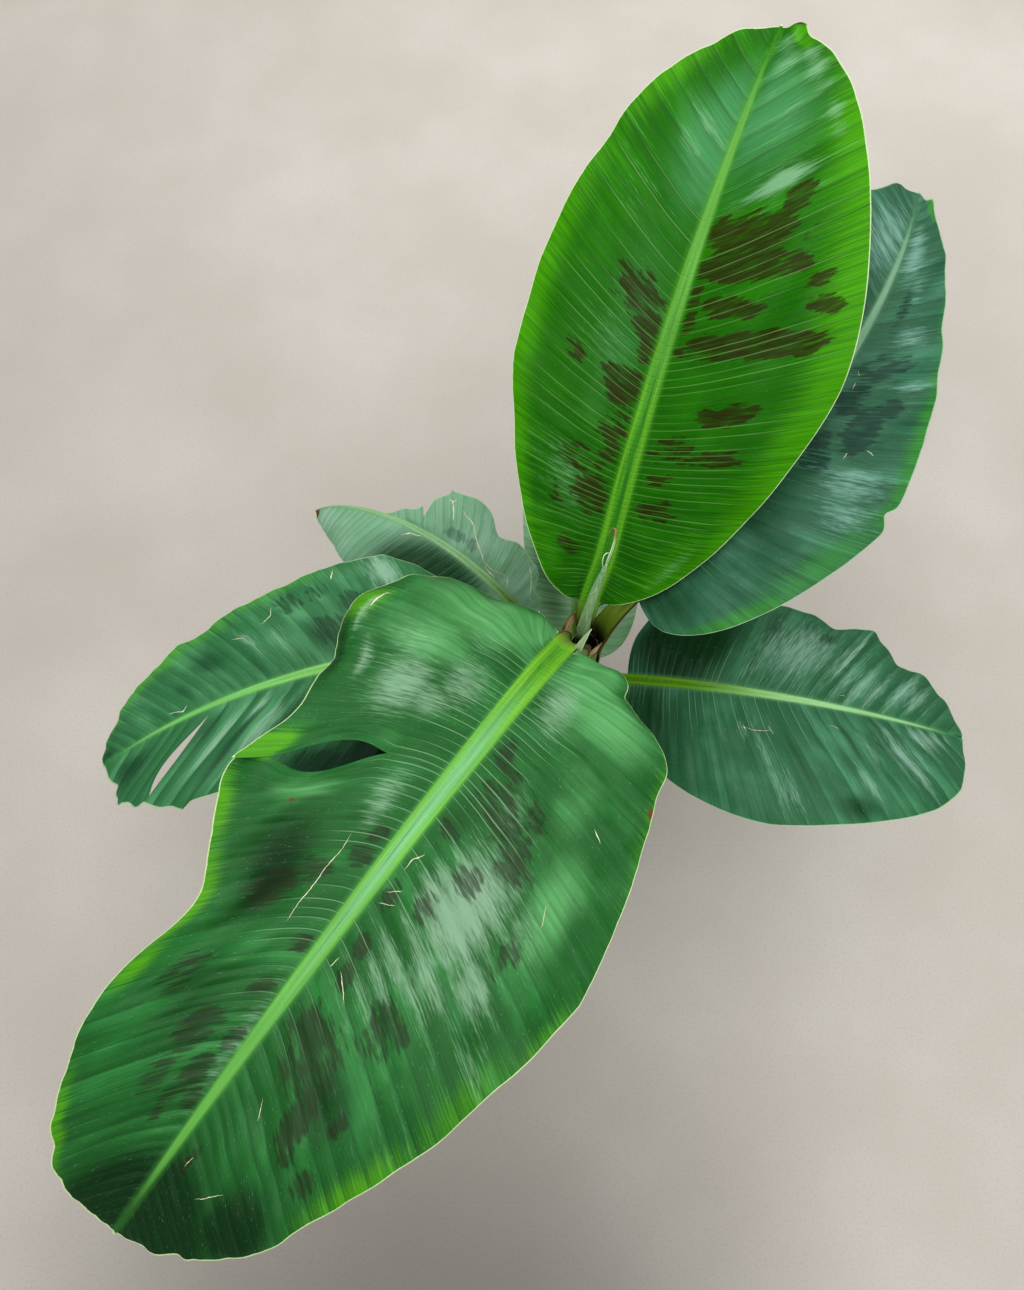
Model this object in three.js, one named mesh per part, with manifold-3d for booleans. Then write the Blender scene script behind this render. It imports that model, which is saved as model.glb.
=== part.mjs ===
// A young banana plant with seven open leaves and one rolled leaf, in a plain nursery pot.
// Lengths are in millimetres, angles in degrees, and +Z is up.
// The origin is the middle of the pot's flat underside.
import * as THREE from 'three';
import { mergeVertices } from 'three/addons/utils/BufferGeometryUtils.js';
import Module from 'manifold-3d';

const wasm = await Module();
wasm.setup();

// Driving dimensions
const gap = 0.3; // clearance between pieces that touch
const pot = { height: 190, footRadius: 76, rimRadius: 100, rimHeight: 22, rimStep: 4, wall: 2.5, sides: 40 };
const soil = { belowRim: 16, mound: 5 };
const stem = { sunk: 12, footRadius: 33, flareHeight: 45, lowerRadius: 29, topRadius: 23.5, topHeight: 545, sides: 28 };
const spear = { length: 312, baseRadius: 7, fullRadius: 10.5, tipRadius: 2, bend: 7, rings: 12, sides: 14 };
const petioleForm = { rootRun: 30, rings: 9, sides: 12, squareness: 2.4 };
const bladeForm = { thickness: 2.4, veinLean: 0.9, veinBow: 1.15, rows: 19, cupBow: 1.5, foldSpread: 0.07 };
const marginSteps = [0, 0.09, 0.32, 0.58, 0.8, 1]; // columns from midrib to margin, as shares of the width

// One entry for each leaf, youngest first.
// root: distance from the stem's axis and height. rise: slope of the petiole's foot, of the blade's foot
// and of its tip. heading: compass direction at the blade's foot and tip. roll: turn about the midrib.
// rib: width and depth of the midrib where it meets the petiole. arch: below 1 the blade bends early.
// footFold: how much steeper the half blades stand up at the blade's foot.
// Each half blade: width at its widest, where that is along the margin, how round its foot and tip are,
// cup (slope of the half blade at the midrib and at the margin), and dents of the margin as
// [place, spread, share of the width].
const leaves = [
  {
    name: 'leaf_1', root: [6, 550], petiole: 75, petioleBend: 1.35, length: 605, arch: 1, footFold: 40,
    rise: [84, 63, 14], heading: [74.5, 66], roll: [0, -14], rib: [24, 13], foot: [28, 17],
    left: { width: 143, widest: 0.42, base: [1.15, 2.1], tip: [2.35, 1.8], cup: [10, -4], dents: [] },
    right: { width: 168, widest: 0.51, base: [1.5, 1.65], tip: [1.8, 1.95], cup: [14, -6], dents: [] },
  },
  {
    name: 'leaf_2', root: [8, 558], petiole: 137, petioleBend: 2.1, length: 725, arch: 0.8, footFold: 12,
    rise: [90, 33, -31], heading: [236.5, 230], roll: [-1.5, -9.5], rib: [26, 15], foot: [32, 19],
    left: { width: 210, widest: 0.43, base: [1.15, 3.5], tip: [1.2, 2.2], cup: [10, -10], dents: [] },
    right: {
      width: 188, widest: 0.185, base: [1.8, 3.6], tip: [0.75, 4.5], cup: [10, -10],
      dents: [[0.27, 0.07, 0.12], [0.62, 0.1, 0.22]],
    },
  },
  {
    name: 'leaf_3', root: [8, 540], petiole: 119, petioleBend: 1.55, length: 530, arch: 1, footFold: 15,
    rise: [79, 47, 0], heading: [26.5, 74], roll: [-2, 10], rib: [19, 12], foot: [34, 16],
    left: { width: 137, widest: 0.45, base: [2, 2], tip: [2, 2.2], cup: [8, -10], dents: [] },
    right: { width: 128, widest: 0.41, base: [1.35, 3.4], tip: [1.05, 1.45], cup: [8, -14], dents: [] },
  },
  {
    name: 'leaf_4', root: [18, 485], petiole: 110, petioleBend: 1.5, length: 505, arch: 1, footFold: 12,
    rise: [66, 26, -31], heading: [187.5, 205], roll: [0, 3], rib: [15, 10], foot: [28, 15],
    left: { width: 103, widest: 0.45, base: [2, 2], tip: [2.35, 4.2], cup: [10, -20], dents: [] },
    right: { width: 128, widest: 0.265, base: [1.2, 1.35], tip: [1.35, 1.8], cup: [12, -20], dents: [] },
  },
  {
    name: 'leaf_5', root: [20, 400], petiole: 73, petioleBend: 2.05, length: 425, arch: 1, footFold: 10,
    rise: [71, 23, -21], heading: [-12, -10], roll: [5, -18], rib: [14, 9], foot: [28, 15],
    left: { width: 120, widest: 0.425, base: [1.7, 3], tip: [2.1, 2.3], cup: [14, -10], dents: [] },
    right: { width: 160, widest: 0.46, base: [1.65, 2.35], tip: [1.25, 3.5], cup: [8, -22], dents: [] },
  },
  {
    name: 'leaf_6', root: [20, 380], petiole: 118, petioleBend: 1.8, length: 360, arch: 1.5, footFold: 0,
    rise: [69, 39, -52], heading: [139.5, 163.5], roll: [0, -1], rib: [13, 8], foot: [26, 14],
    left: { width: 112, widest: 0.42, base: [2, 2], tip: [1.55, 1.3], cup: [-5, -40], dents: [] },
    right: { width: 72, widest: 0.49, base: [2, 1.9], tip: [0.5, 0.65], cup: [35, 15], dents: [] },
  },
  {
    name: 'leaf_7', root: [22, 310], petiole: 88, petioleBend: 2.1, length: 350, arch: 1, footFold: 15,
    rise: [75, 42, 5], heading: [90, 96], roll: [-9, 0], rib: [12, 8], foot: [26, 13],
    left: { width: 68, widest: 0.44, base: [2, 2], tip: [2, 2], cup: [12, -10], dents: [] },
    right: { width: 88, widest: 0.42, base: [2.4, 4], tip: [2, 2], cup: [12, -10], dents: [] },
  },
];

const materials = {
  pot: { color: 0x2e2f2e, roughness: 0.6 },
  soil: { color: 0x3b2a1e, roughness: 1 },
  stem: { color: 0x8d9a55, roughness: 0.5 },
  spear: { color: 0xb4c39a, roughness: 0.45 },
  petiole: { color: 0xa3b866, roughness: 0.45 },
  youngBlade: { color: 0x7fa653, roughness: 0.4 },
  oldBlade: { color: 0x5f8258, roughness: 0.45 },
};

const radians = THREE.MathUtils.degToRad;
const mix = THREE.MathUtils.lerp;
const clampUnit = (value) => Math.min(1, Math.max(0, value));

// Names a closed mesh and gives it its own material.
function makePiece(name, geometry, look) {
  const mesh = new THREE.Mesh(geometry, new THREE.MeshStandardMaterial({ ...look, metalness: 0 }));
  mesh.name = name;
  return mesh;
}

// Makes a geometry from a list of points and a list of triangles.
function geometryFrom(points, triangles) {
  const geometry = new THREE.BufferGeometry();
  geometry.setAttribute('position', new THREE.Float32BufferAttribute(points.flatMap((p) => p.toArray()), 3));
  geometry.setIndex(triangles);
  return geometry;
}

function solidFrom(geometry) {
  const bare = geometry.clone();
  bare.deleteAttribute('normal');
  bare.deleteAttribute('uv');
  const merged = mergeVertices(bare);
  return new wasm.Manifold(new wasm.Mesh({
    numProp: 3,
    vertProperties: new Float32Array(merged.attributes.position.array),
    triVerts: new Uint32Array(merged.index.array),
  }));
}

// The largest single body of a solid, as a geometry.
function largestBody(solid) {
  const bodies = solid.decompose().sort((a, b) => b.volume() - a.volume());
  const { vertProperties, triVerts } = bodies[0].getMesh();
  const geometry = new THREE.BufferGeometry();
  geometry.setAttribute('position', new THREE.BufferAttribute(new Float32Array(vertProperties), 3));
  geometry.setIndex(new THREE.BufferAttribute(new Uint32Array(triVerts), 1));
  return geometry;
}

// Skins a row of rings, all with the same number of points, and closes both ends with a fan.
function skinRings(rings) {
  const sides = rings[0].length;
  const points = rings.flat();
  const triangles = [];
  for (let ring = 0; ring < rings.length - 1; ring++) {
    for (let side = 0; side < sides; side++) {
      const a = ring * sides + side;
      const b = ring * sides + ((side + 1) % sides);
      triangles.push(a, b, a + sides, b, b + sides, a + sides);
    }
  }
  const middleOf = (ring) => ring.reduce((sum, p) => sum.add(p), new THREE.Vector3()).divideScalar(sides);
  const first = points.push(middleOf(rings[0])) - 1;
  const last = points.push(middleOf(rings.at(-1))) - 1;
  const lastRing = (rings.length - 1) * sides;
  for (let side = 0; side < sides; side++) {
    const next = (side + 1) % sides;
    triangles.push(first, next, side, last, lastRing + side, lastRing + next);
  }
  return geometryFrom(points, triangles);
}

// A round piece turned about the Z axis from a profile of [radius, height] pairs.
function turned(profile, sides) {
  const outline = profile.map(([radius, height]) => new THREE.Vector2(radius, height));
  return new THREE.LatheGeometry(outline, sides).rotateX(Math.PI / 2);
}

const potSlope = (pot.rimRadius - pot.rimStep - pot.footRadius) / (pot.height - pot.rimHeight);
const potOuterRadius = (height) => pot.footRadius + potSlope * height;
const soilLevel = pot.height - soil.belowRim;
const stemFoot = soilLevel + soil.mound - stem.sunk;

function potGeometry() {
  const rimFoot = pot.height - pot.rimHeight;
  return turned([
    [0, 0],
    [pot.footRadius, 0],
    [potOuterRadius(rimFoot), rimFoot],
    [pot.rimRadius - 1, rimFoot],
    [pot.rimRadius, pot.height],
    [pot.rimRadius - pot.wall - 1, pot.height],
    [potOuterRadius(pot.wall) - pot.wall, pot.wall],
    [0, pot.wall],
  ], pot.sides);
}

function soilGeometry() {
  const floor = pot.wall + gap;
  // The inner wall runs straight from the pot's floor to its rim.
  const innerFoot = potOuterRadius(pot.wall) - pot.wall;
  const innerRim = pot.rimRadius - pot.wall - 1;
  const innerRadius = (height) => mix(innerFoot, innerRim, (height - pot.wall) / (pot.height - pot.wall));
  const stemHole = stem.footRadius + gap;
  return turned([
    [0, floor],
    [innerRadius(floor) - gap * 1.5, floor],
    [innerRadius(soilLevel) - gap * 1.5, soilLevel],
    [stemHole * 1.4, soilLevel + soil.mound],
    [stemHole, soilLevel + soil.mound],
    [stemHole, stemFoot - gap],
    [0, stemFoot - gap],
  ], pot.sides);
}

// The stem's flare dies away over flareHeight, and the rest tapers evenly to the top.
function stemRadius(height) {
  const flare = (stem.footRadius - stem.lowerRadius) * clampUnit(1 - (height - stemFoot) / stem.flareHeight) ** 2;
  const taper = (height - stemFoot) / (stem.topHeight - stemFoot);
  return mix(stem.lowerRadius, stem.topRadius, taper) + flare;
}

function stemGeometry(extra = 0) {
  const heights = [0, 0.04, 0.08, 0.13, 0.35, 0.6, 0.8, 1].map((share) => mix(stemFoot, stem.topHeight, share));
  const side = heights.map((height) => [stemRadius(height) + extra, height]);
  side[0][1] -= extra;
  side.at(-1)[1] += extra;
  return turned([[0, side[0][1]], ...side, [0, side.at(-1)[1]]], stem.sides);
}

// The rolled leaf swells above its foot, thins to a point and nods a little at the end.
function spearGeometry(extra = 0) {
  const foot = stem.topHeight + gap - extra;
  const rings = [];
  for (let ring = 0; ring <= spear.rings; ring++) {
    const share = ring / spear.rings;
    const swell = Math.sin(Math.PI * Math.min(0.5, share * 1.4));
    const body = mix(spear.baseRadius, spear.fullRadius, swell);
    const radius = mix(body, spear.tipRadius, clampUnit((share - 0.35) / 0.65) ** 1.4) + extra;
    const centre = new THREE.Vector3(spear.bend * share ** 3, -spear.bend * share ** 2, foot + spear.length * share);
    rings.push(Array.from({ length: spear.sides }, (_, side) => {
      const turn = (2 * Math.PI * side) / spear.sides;
      return new THREE.Vector3(radius * Math.cos(turn), radius * Math.sin(turn), 0).add(centre);
    }));
  }
  return skinRings(rings);
}

// Follows the petiole and midrib as one curve: distance is 0 where the blade starts, negative on the
// petiole. It gives the point on the rib's upper face, the direction along it, the direction to the
// leaf's left, and the direction out of its upper face.
function growRib(leaf) {
  const frameAt = (distance) => {
    const onBlade = clampUnit(distance / leaf.length);
    const onPetiole = clampUnit(1 + distance / leaf.petiole);
    const rise = radians(distance < 0
      ? mix(leaf.rise[0], leaf.rise[1], onPetiole ** leaf.petioleBend)
      : mix(leaf.rise[1], leaf.rise[2], onBlade ** leaf.arch));
    const heading = radians(mix(leaf.heading[0], leaf.heading[1], onBlade));
    const along = new THREE.Vector3(
      Math.cos(rise) * Math.cos(heading), Math.cos(rise) * Math.sin(heading), Math.sin(rise));
    const left = new THREE.Vector3(-Math.sin(heading), Math.cos(heading), 0);
    left.applyAxisAngle(along, radians(mix(leaf.roll[0], leaf.roll[1], onBlade)));
    return { along, left, up: along.clone().cross(left) };
  };
  const steps = 400;
  const stride = (leaf.petiole + leaf.length) / steps;
  const heading = radians(leaf.heading[0]);
  const [rootRadius, rootHeight] = leaf.root;
  const trail = [new THREE.Vector3(rootRadius * Math.cos(heading), rootRadius * Math.sin(heading), rootHeight)];
  for (let step = 0; step < steps; step++) {
    const { along } = frameAt(-leaf.petiole + (step + 0.5) * stride);
    trail.push(trail[step].clone().addScaledVector(along, stride));
  }
  return (distance) => {
    const place = (distance + leaf.petiole) / stride;
    const step = Math.min(steps - 1, Math.max(0, Math.floor(place)));
    const point = trail[step].clone().lerp(trail[step + 1], clampUnit(place - step));
    const frame = frameAt(distance);
    if (place < 0) point.addScaledVector(frame.along, place * stride);
    return { point, ...frame };
  };
}

// Half width of a half blade at a place along its margin: a rounded foot up to the widest place, then a
// rounded tip, less its dents.
function halfWidth(half, place) {
  const toFoot = clampUnit(1 - place / half.widest);
  const toTip = clampUnit((place - half.widest) / (1 - half.widest));
  const [reach, power] = place < half.widest ? [toFoot ** half.base[0], half.base[1]] : [toTip ** half.tip[0], half.tip[1]];
  const dented = half.dents.reduce((share, [at, spread, depth]) => (
    share * (1 - depth * Math.exp(-(((place - at) / spread) ** 2)))), 1);
  return half.width * clampUnit(1 - reach) ** (1 / power) * dented;
}

// The place on the margin that the side vein from a place on the midrib runs to. Veins leave square to
// the midrib at the foot and lean forward more and more towards the tip.
function veinEnd(leaf, half, ribPlace) {
  let [low, high] = [ribPlace, 1];
  for (let pass = 0; pass < 40; pass++) {
    const middle = (low + high) / 2;
    const start = middle - (halfWidth(half, middle) / leaf.length) * bladeForm.veinLean * middle;
    if (start < ribPlace) low = middle; else high = middle;
  }
  return (low + high) / 2;
}

// A point of the blade's upper face: side is 1 on the left and -1 on the right, and reach runs along the
// vein from 0 at the midrib to 1 at the margin. The half blade is bent like a shallow gutter.
function bladePoint(leaf, rib, ribPlace, side, reach) {
  const half = side > 0 ? leaf.left : leaf.right;
  const marginPlace = veinEnd(leaf, half, ribPlace);
  const width = halfWidth(half, marginPlace);
  const distance = leaf.length * mix(ribPlace, marginPlace, reach ** bladeForm.veinBow);
  const parts = 12;
  let [out, lift] = [0, 0];
  for (let part = 0; part < parts; part++) {
    const share = (reach * (part + 0.5)) / parts;
    const footFold = leaf.footFold * Math.exp(-ribPlace / bladeForm.foldSpread);
    const slope = radians(mix(half.cup[0], half.cup[1], share ** bladeForm.cupBow) + footFold);
    out += (Math.cos(slope) * width * reach) / parts;
    lift += (Math.sin(slope) * width * reach) / parts;
  }
  const { point, left, up } = rib(distance);
  point.addScaledVector(left, side * out).addScaledVector(up, lift);
  return { point, up };
}

// The blade is a thin sheet with its midrib as a keel underneath. Its first and last rows are points.
function bladeGeometry(leaf, rib) {
  const columns = [
    ...marginSteps.slice(1).reverse().map((reach) => [1, reach]),
    [1, 0],
    ...marginSteps.slice(1).map((reach) => [-1, reach]),
  ];
  const [top, underside] = [[], []];
  for (let row = 0; row <= bladeForm.rows; row++) {
    const ribPlace = (1 - Math.cos((Math.PI * row) / bladeForm.rows)) / 2;
    const isPoint = row === 0 || row === bladeForm.rows;
    const line = isPoint ? [[1, 0]] : columns;
    const keel = leaf.rib[1] * mix(1, 0.12, ribPlace);
    const faces = line.map(([side, reach]) => {
      const { point, up } = bladePoint(leaf, rib, ribPlace, side, reach);
      const depth = bladeForm.thickness + (reach === 0 ? keel : 0);
      return [point, point.clone().addScaledVector(up, -depth)];
    });
    top.push(faces.map((pair) => pair[0]));
    underside.push(faces.map((pair) => pair[1]));
  }
  const points = [...top.flat(), ...underside.flat()];
  const count = top.flat().length;
  const width = columns.length;
  const index = (row, column) => (row === 0 ? 0 : 1 + (row - 1) * width + (row === bladeForm.rows ? 0 : column));
  const triangles = [];
  const addFace = (a, b, c) => {
    if (a === b || b === c || a === c) return;
    triangles.push(a, b, c, a + count, c + count, b + count);
  };
  for (let row = 0; row < bladeForm.rows; row++) {
    for (let column = 0; column < width - 1; column++) {
      const [near, far] = [[index(row, column), index(row, column + 1)], [index(row + 1, column), index(row + 1, column + 1)]];
      addFace(near[0], near[1], far[0]);
      addFace(near[1], far[1], far[0]);
    }
    for (const [column, outward] of [[0, true], [width - 1, false]]) {
      const [a, b] = [index(row, column), index(row + 1, column)];
      const wall = [a, b, b + count, a, b + count, a + count];
      triangles.push(...(outward ? wall : wall.reverse()));
    }
  }
  return geometryFrom(points, triangles);
}

// The petiole is a limb with a rounded, nearly square section. It tapers from its foot inside the stem to
// the midrib's own size, with its upper face on the rib curve.
function petioleGeometry(leaf, rib, extra = 0) {
  const rings = [];
  const run = leaf.petiole + petioleForm.rootRun;
  for (let ring = 0; ring <= petioleForm.rings; ring++) {
    const share = ring / petioleForm.rings;
    const { point, left, up } = rib(mix(-run, -gap, share));
    const taper = share ** 0.8;
    const halfAcross = mix(leaf.foot[0], leaf.rib[0], taper) / 2;
    const halfDeep = mix(leaf.foot[1], leaf.rib[1], taper) / 2;
    const centre = point.clone().addScaledVector(up, -halfDeep);
    rings.push(Array.from({ length: petioleForm.sides }, (_, side) => {
      const turn = (2 * Math.PI * side) / petioleForm.sides;
      const square = (value) => Math.sign(value) * Math.abs(value) ** (2 / petioleForm.squareness);
      return centre.clone()
        .addScaledVector(left, square(Math.cos(turn)) * (halfAcross + extra))
        .addScaledVector(up, square(Math.sin(turn)) * (halfDeep + extra));
    }));
  }
  return skinRings(rings);
}

// The petioles are trimmed by the stem, by the rolled leaf that they wrap, and by each younger petiole.
function buildPlant() {
  const plant = new THREE.Group();
  plant.add(makePiece('pot', potGeometry(), materials.pot));
  plant.add(makePiece('potting_soil', soilGeometry(), materials.soil));
  plant.add(makePiece('pseudostem', stemGeometry(), materials.stem));
  plant.add(makePiece('spear_leaf', spearGeometry(), materials.spear));
  let taken = solidFrom(stemGeometry(gap)).add(solidFrom(spearGeometry(gap)));
  for (const [order, leaf] of leaves.entries()) {
    const rib = growRib(leaf);
    const petiole = solidFrom(petioleGeometry(leaf, rib)).subtract(taken);
    plant.add(makePiece(`${leaf.name}_petiole`, largestBody(petiole), materials.petiole));
    const bladeLook = order === 0 || order === 1 ? materials.youngBlade : materials.oldBlade;
    plant.add(makePiece(`${leaf.name}_blade`, bladeGeometry(leaf, rib), bladeLook));
    taken = taken.add(solidFrom(petioleGeometry(leaf, rib, gap)));
  }
  return plant;
}

export default buildPlant();
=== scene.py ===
# A young banana plant in a plain nursery pot, seen from above on a pale floor.
# Lengths are in metres, angles in degrees, and +Z is up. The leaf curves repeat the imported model's sizes.
from math import comb, floor
import bpy
import numpy as np
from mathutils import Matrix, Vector


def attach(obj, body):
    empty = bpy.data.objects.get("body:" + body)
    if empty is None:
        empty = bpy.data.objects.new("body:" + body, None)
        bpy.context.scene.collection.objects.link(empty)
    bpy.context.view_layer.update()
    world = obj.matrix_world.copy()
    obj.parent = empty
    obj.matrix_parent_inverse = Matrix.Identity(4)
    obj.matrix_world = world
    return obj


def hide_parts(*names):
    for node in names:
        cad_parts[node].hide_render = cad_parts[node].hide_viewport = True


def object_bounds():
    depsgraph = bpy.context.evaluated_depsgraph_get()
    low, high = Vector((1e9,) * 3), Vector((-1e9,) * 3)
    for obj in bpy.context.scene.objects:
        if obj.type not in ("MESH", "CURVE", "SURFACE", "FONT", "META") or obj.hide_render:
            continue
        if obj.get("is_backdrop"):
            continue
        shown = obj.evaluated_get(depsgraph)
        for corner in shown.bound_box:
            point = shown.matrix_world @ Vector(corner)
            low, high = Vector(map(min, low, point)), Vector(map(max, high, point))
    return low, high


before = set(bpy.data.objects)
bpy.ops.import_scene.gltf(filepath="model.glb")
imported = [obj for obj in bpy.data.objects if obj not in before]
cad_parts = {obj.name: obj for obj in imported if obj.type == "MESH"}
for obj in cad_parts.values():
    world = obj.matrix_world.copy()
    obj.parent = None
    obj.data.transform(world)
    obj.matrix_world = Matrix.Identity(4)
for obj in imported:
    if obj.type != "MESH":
        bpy.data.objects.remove(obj)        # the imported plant: pot, potting soil, pseudostem, spear and seven leaves
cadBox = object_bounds()
print("frame loaded:", len(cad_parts), "nodes")


def mix(a, b, share):
    # a + (b - a) share
    return a + (b - a) * share


def smooth(low, high, value):
    # 3 t^2 - 2 t^3, where t is how far value has come from low to high
    t = np.clip((value - low) / (high - low), 0, 1)
    return t * t * (3 - 2 * t)


def bell(value, middle, spread):
    # exp(-((value - middle) / spread)^2)
    return np.exp(-(((value - middle) / spread) ** 2))


def waves(value, seed, lengths):
    # The mean of one sine for each wave length, each with its own seeded phase: between -1 and 1
    phases = np.random.default_rng(seed).uniform(0, 2 * np.pi, len(lengths))
    sines = [np.sin(2 * np.pi * value / size + phase) for size, phase in zip(lengths, phases)]
    return sum(sines) / len(sines)


def linear(hexText):
    # sRGB hex to linear colour: c / 12.92 up to 0.04045, and ((c + 0.055) / 1.055)^2.4 above it
    shares = np.array([int(hexText[start:start + 2], 16) for start in (1, 3, 5)]) / 255
    light = np.where(shares <= 0.04045, shares / 12.92, ((shares + 0.055) / 1.055) ** 2.4)
    return (*light.tolist(), 1.0)


def addNode(tree, kind, inputs=(), **settings):
    # Adds a shader node. settings are its own properties. inputs gives each socket a value, or the output
    # socket or amount that is linked to it.
    node = tree.nodes.new("ShaderNode" + kind)
    for name, value in settings.items():
        setattr(node, name, value)
    for name, value in dict(inputs).items():
        value = value.socket if isinstance(value, Amount) else value
        if isinstance(value, bpy.types.NodeSocket):
            tree.links.new(value, node.inputs[name])
        else:
            node.inputs[name].default_value = value
    return node


class Amount:
    # A number that varies over a surface, held by a node's output socket. Plain arithmetic with amounts adds
    # the nodes that do it.
    def __init__(self, socket):
        self.socket = socket

    def done(self, operation, *terms):
        node = addNode(self.socket.id_data, "Math", dict(enumerate(terms)), operation=operation)
        return Amount(node.outputs[0])

    def __add__(self, other):
        return self.done("ADD", self, other)

    def __sub__(self, other):
        return self.done("SUBTRACT", self, other)

    def __rsub__(self, other):
        return self.done("SUBTRACT", other, self)

    def __mul__(self, other):
        return self.done("MULTIPLY", self, other)

    def __abs__(self):
        return self.done("ABSOLUTE", self)

    def __floor__(self):
        return self.done("FLOOR", self)

    def __round__(self):
        return self.done("ROUND", self)

    def distanceToWhole(self):
        # How far it is from the nearest whole number
        return self.done("PINGPONG", self, 0.5)

    def ramp(self, low, high, top=1.0):
        # smooth(low, high, amount) x top; it falls where low is above high
        sockets = {"Value": self, "From Min": low, "From Max": high, "To Max": top}
        node = addNode(self.socket.id_data, "MapRange", sockets, interpolation_type="SMOOTHSTEP")
        return Amount(node.outputs[0])

    def between(self, low, high, bottom, top):
        # Straight from bottom to top as the amount goes from low to high, and level beyond
        sockets = {"Value": self, "From Min": low, "From Max": high, "To Min": bottom, "To Max": top}
        return Amount(addNode(self.socket.id_data, "MapRange", sockets).outputs[0])


def newMaterial(name):
    # A material with an empty node tree
    material = bpy.data.materials.new(name)
    material.use_nodes = True
    material.node_tree.nodes.clear()
    return material, material.node_tree


def readFields(tree, names):
    # An amount for each field of the mesh, and its grain coordinates, metres along and across the piece
    amounts = {key: Amount(addNode(tree, "Attribute", attribute_name=key).outputs["Fac"]) for key in names}
    return amounts, addNode(tree, "Attribute", attribute_name="grain").outputs["Vector"]


def stretchedNoise(tree, where, scale, detail=3):
    # Noise of where x scale, so a spot is about 1 / scale metres long in each direction
    placed = addNode(tree, "Mapping", {"Vector": where, "Scale": scale}).outputs[0]
    return Amount(addNode(tree, "TexNoise", {"Vector": placed, "Scale": 1, "Detail": detail}).outputs["Fac"])


def layered(tree, colour, layers):
    # Each layer's colour is laid over what is there, by the share that its mask gives
    colour = linear(colour) if isinstance(colour, str) else colour
    for mask, over in layers:
        over = linear(over) if isinstance(over, str) else over
        colour = addNode(tree, "Mix", {0: mask, 6: colour, 7: over}, data_type="RGBA").outputs[2]
    return colour


def finishMaterial(tree, colour, roughness, height, strength, depthMm, sockets=(), through=0):
    # The principled shader with a bump of height x depthMm and any other sockets that it sets. through is
    # the share of it that lets light through.
    bumpSockets = {"Height": height, "Strength": strength, "Distance": depthMm / 1000}
    bump = addNode(tree, "Bump", bumpSockets).outputs[0]
    inputs = {"Base Color": colour, "Roughness": roughness, "Normal": bump, **dict(sockets)}
    surface = addNode(tree, "BsdfPrincipled", inputs).outputs[0]
    if through:
        glow = addNode(tree, "BsdfTranslucent", {"Color": colour, "Normal": bump}).outputs[0]
        surface = addNode(tree, "MixShader", {0: through, 1: surface, 2: glow}).outputs[0]
    addNode(tree, "OutputMaterial", {"Surface": surface})


def weldFaces(quads):
    # A quad loses each corner that repeats the one before it: three that are left make a triangle, fewer
    # make nothing
    kept = quads != np.roll(quads, 1, axis=1)
    sizes = kept.sum(1)
    whole = sizes > 2
    return quads[whole][kept[whole]], sizes[whole]


def makePiece(name, points, quads, fields, material, slot, replaces=(), sharpAngle=50):
    # Puts points, quads and per-point fields into a mesh that rides on the root body
    corners, sizes = weldFaces(quads)
    used, corners = np.unique(corners, return_inverse=True)
    mesh = bpy.data.meshes.new(name)
    mesh.vertices.add(len(used))
    mesh.vertices.foreach_set("co", points[used].astype(np.float32).ravel())
    mesh.loops.add(len(corners))
    mesh.loops.foreach_set("vertex_index", corners.astype(np.int32).ravel())
    mesh.polygons.add(len(sizes))
    starts = np.concatenate([[0], np.cumsum(sizes)[:-1]])
    mesh.polygons.foreach_set("loop_start", starts.astype(np.int32))
    mesh.polygons.foreach_set("use_smooth", np.ones(len(sizes), bool))
    mesh.update(calc_edges=True)
    for field, values in fields.items():
        values = np.asarray(values, np.float32)[used]
        kind, key = ("FLOAT_VECTOR", "vector") if values.ndim == 2 else ("FLOAT", "value")
        mesh.attributes.new(field, kind, "POINT").data.foreach_set(key, values.ravel())
    mesh.set_sharp_from_angle(angle=np.radians(sharpAngle))
    mesh.materials.append(material)
    piece = bpy.data.objects.new(name, mesh)
    bpy.context.scene.collection.objects.link(piece)
    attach(piece, "root")
    if replaces:
        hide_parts(*replaces)
    return piece


def skinRings(rings, fields=()):
    # Quads join each ring of points to the next, and each point to the next round the ring. A middle point
    # closes each end. rings is (rings, points, 3), and turns from left to up as it travels forward.
    count, sides = rings.shape[:2]
    index = np.arange(count * sides).reshape(count, sides)
    after = np.roll(index, -1, axis=1)
    tube = np.stack([index[:-1], after[:-1], after[1:], index[1:]], -1).reshape(-1, 4)
    first, last = count * sides, count * sides + 1
    foot = np.stack([np.full(sides, first), after[0], index[0], index[0]], -1)
    head = np.stack([np.full(sides, last), index[-1], after[-1], after[-1]], -1)
    closed = {}
    for name, values in {"points": rings, **dict(fields)}.items():
        flat = values.reshape(count * sides, *values.shape[2:])
        closed[name] = np.concatenate([flat, values[[0, -1]].mean(1)])
    return closed.pop("points"), np.concatenate([tube, foot, head]), closed


def turnRings(radii, heights, sides):
    # A round profile turned about the upright axis: (r cos a, r sin a, h)
    angles = np.linspace(0, 2 * np.pi, sides, endpoint=False)
    radii, heights = np.asarray(radii)[:, None], np.asarray(heights)[:, None]
    return np.stack([radii * np.cos(angles), radii * np.sin(angles), heights + 0 * angles], -1)


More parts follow.
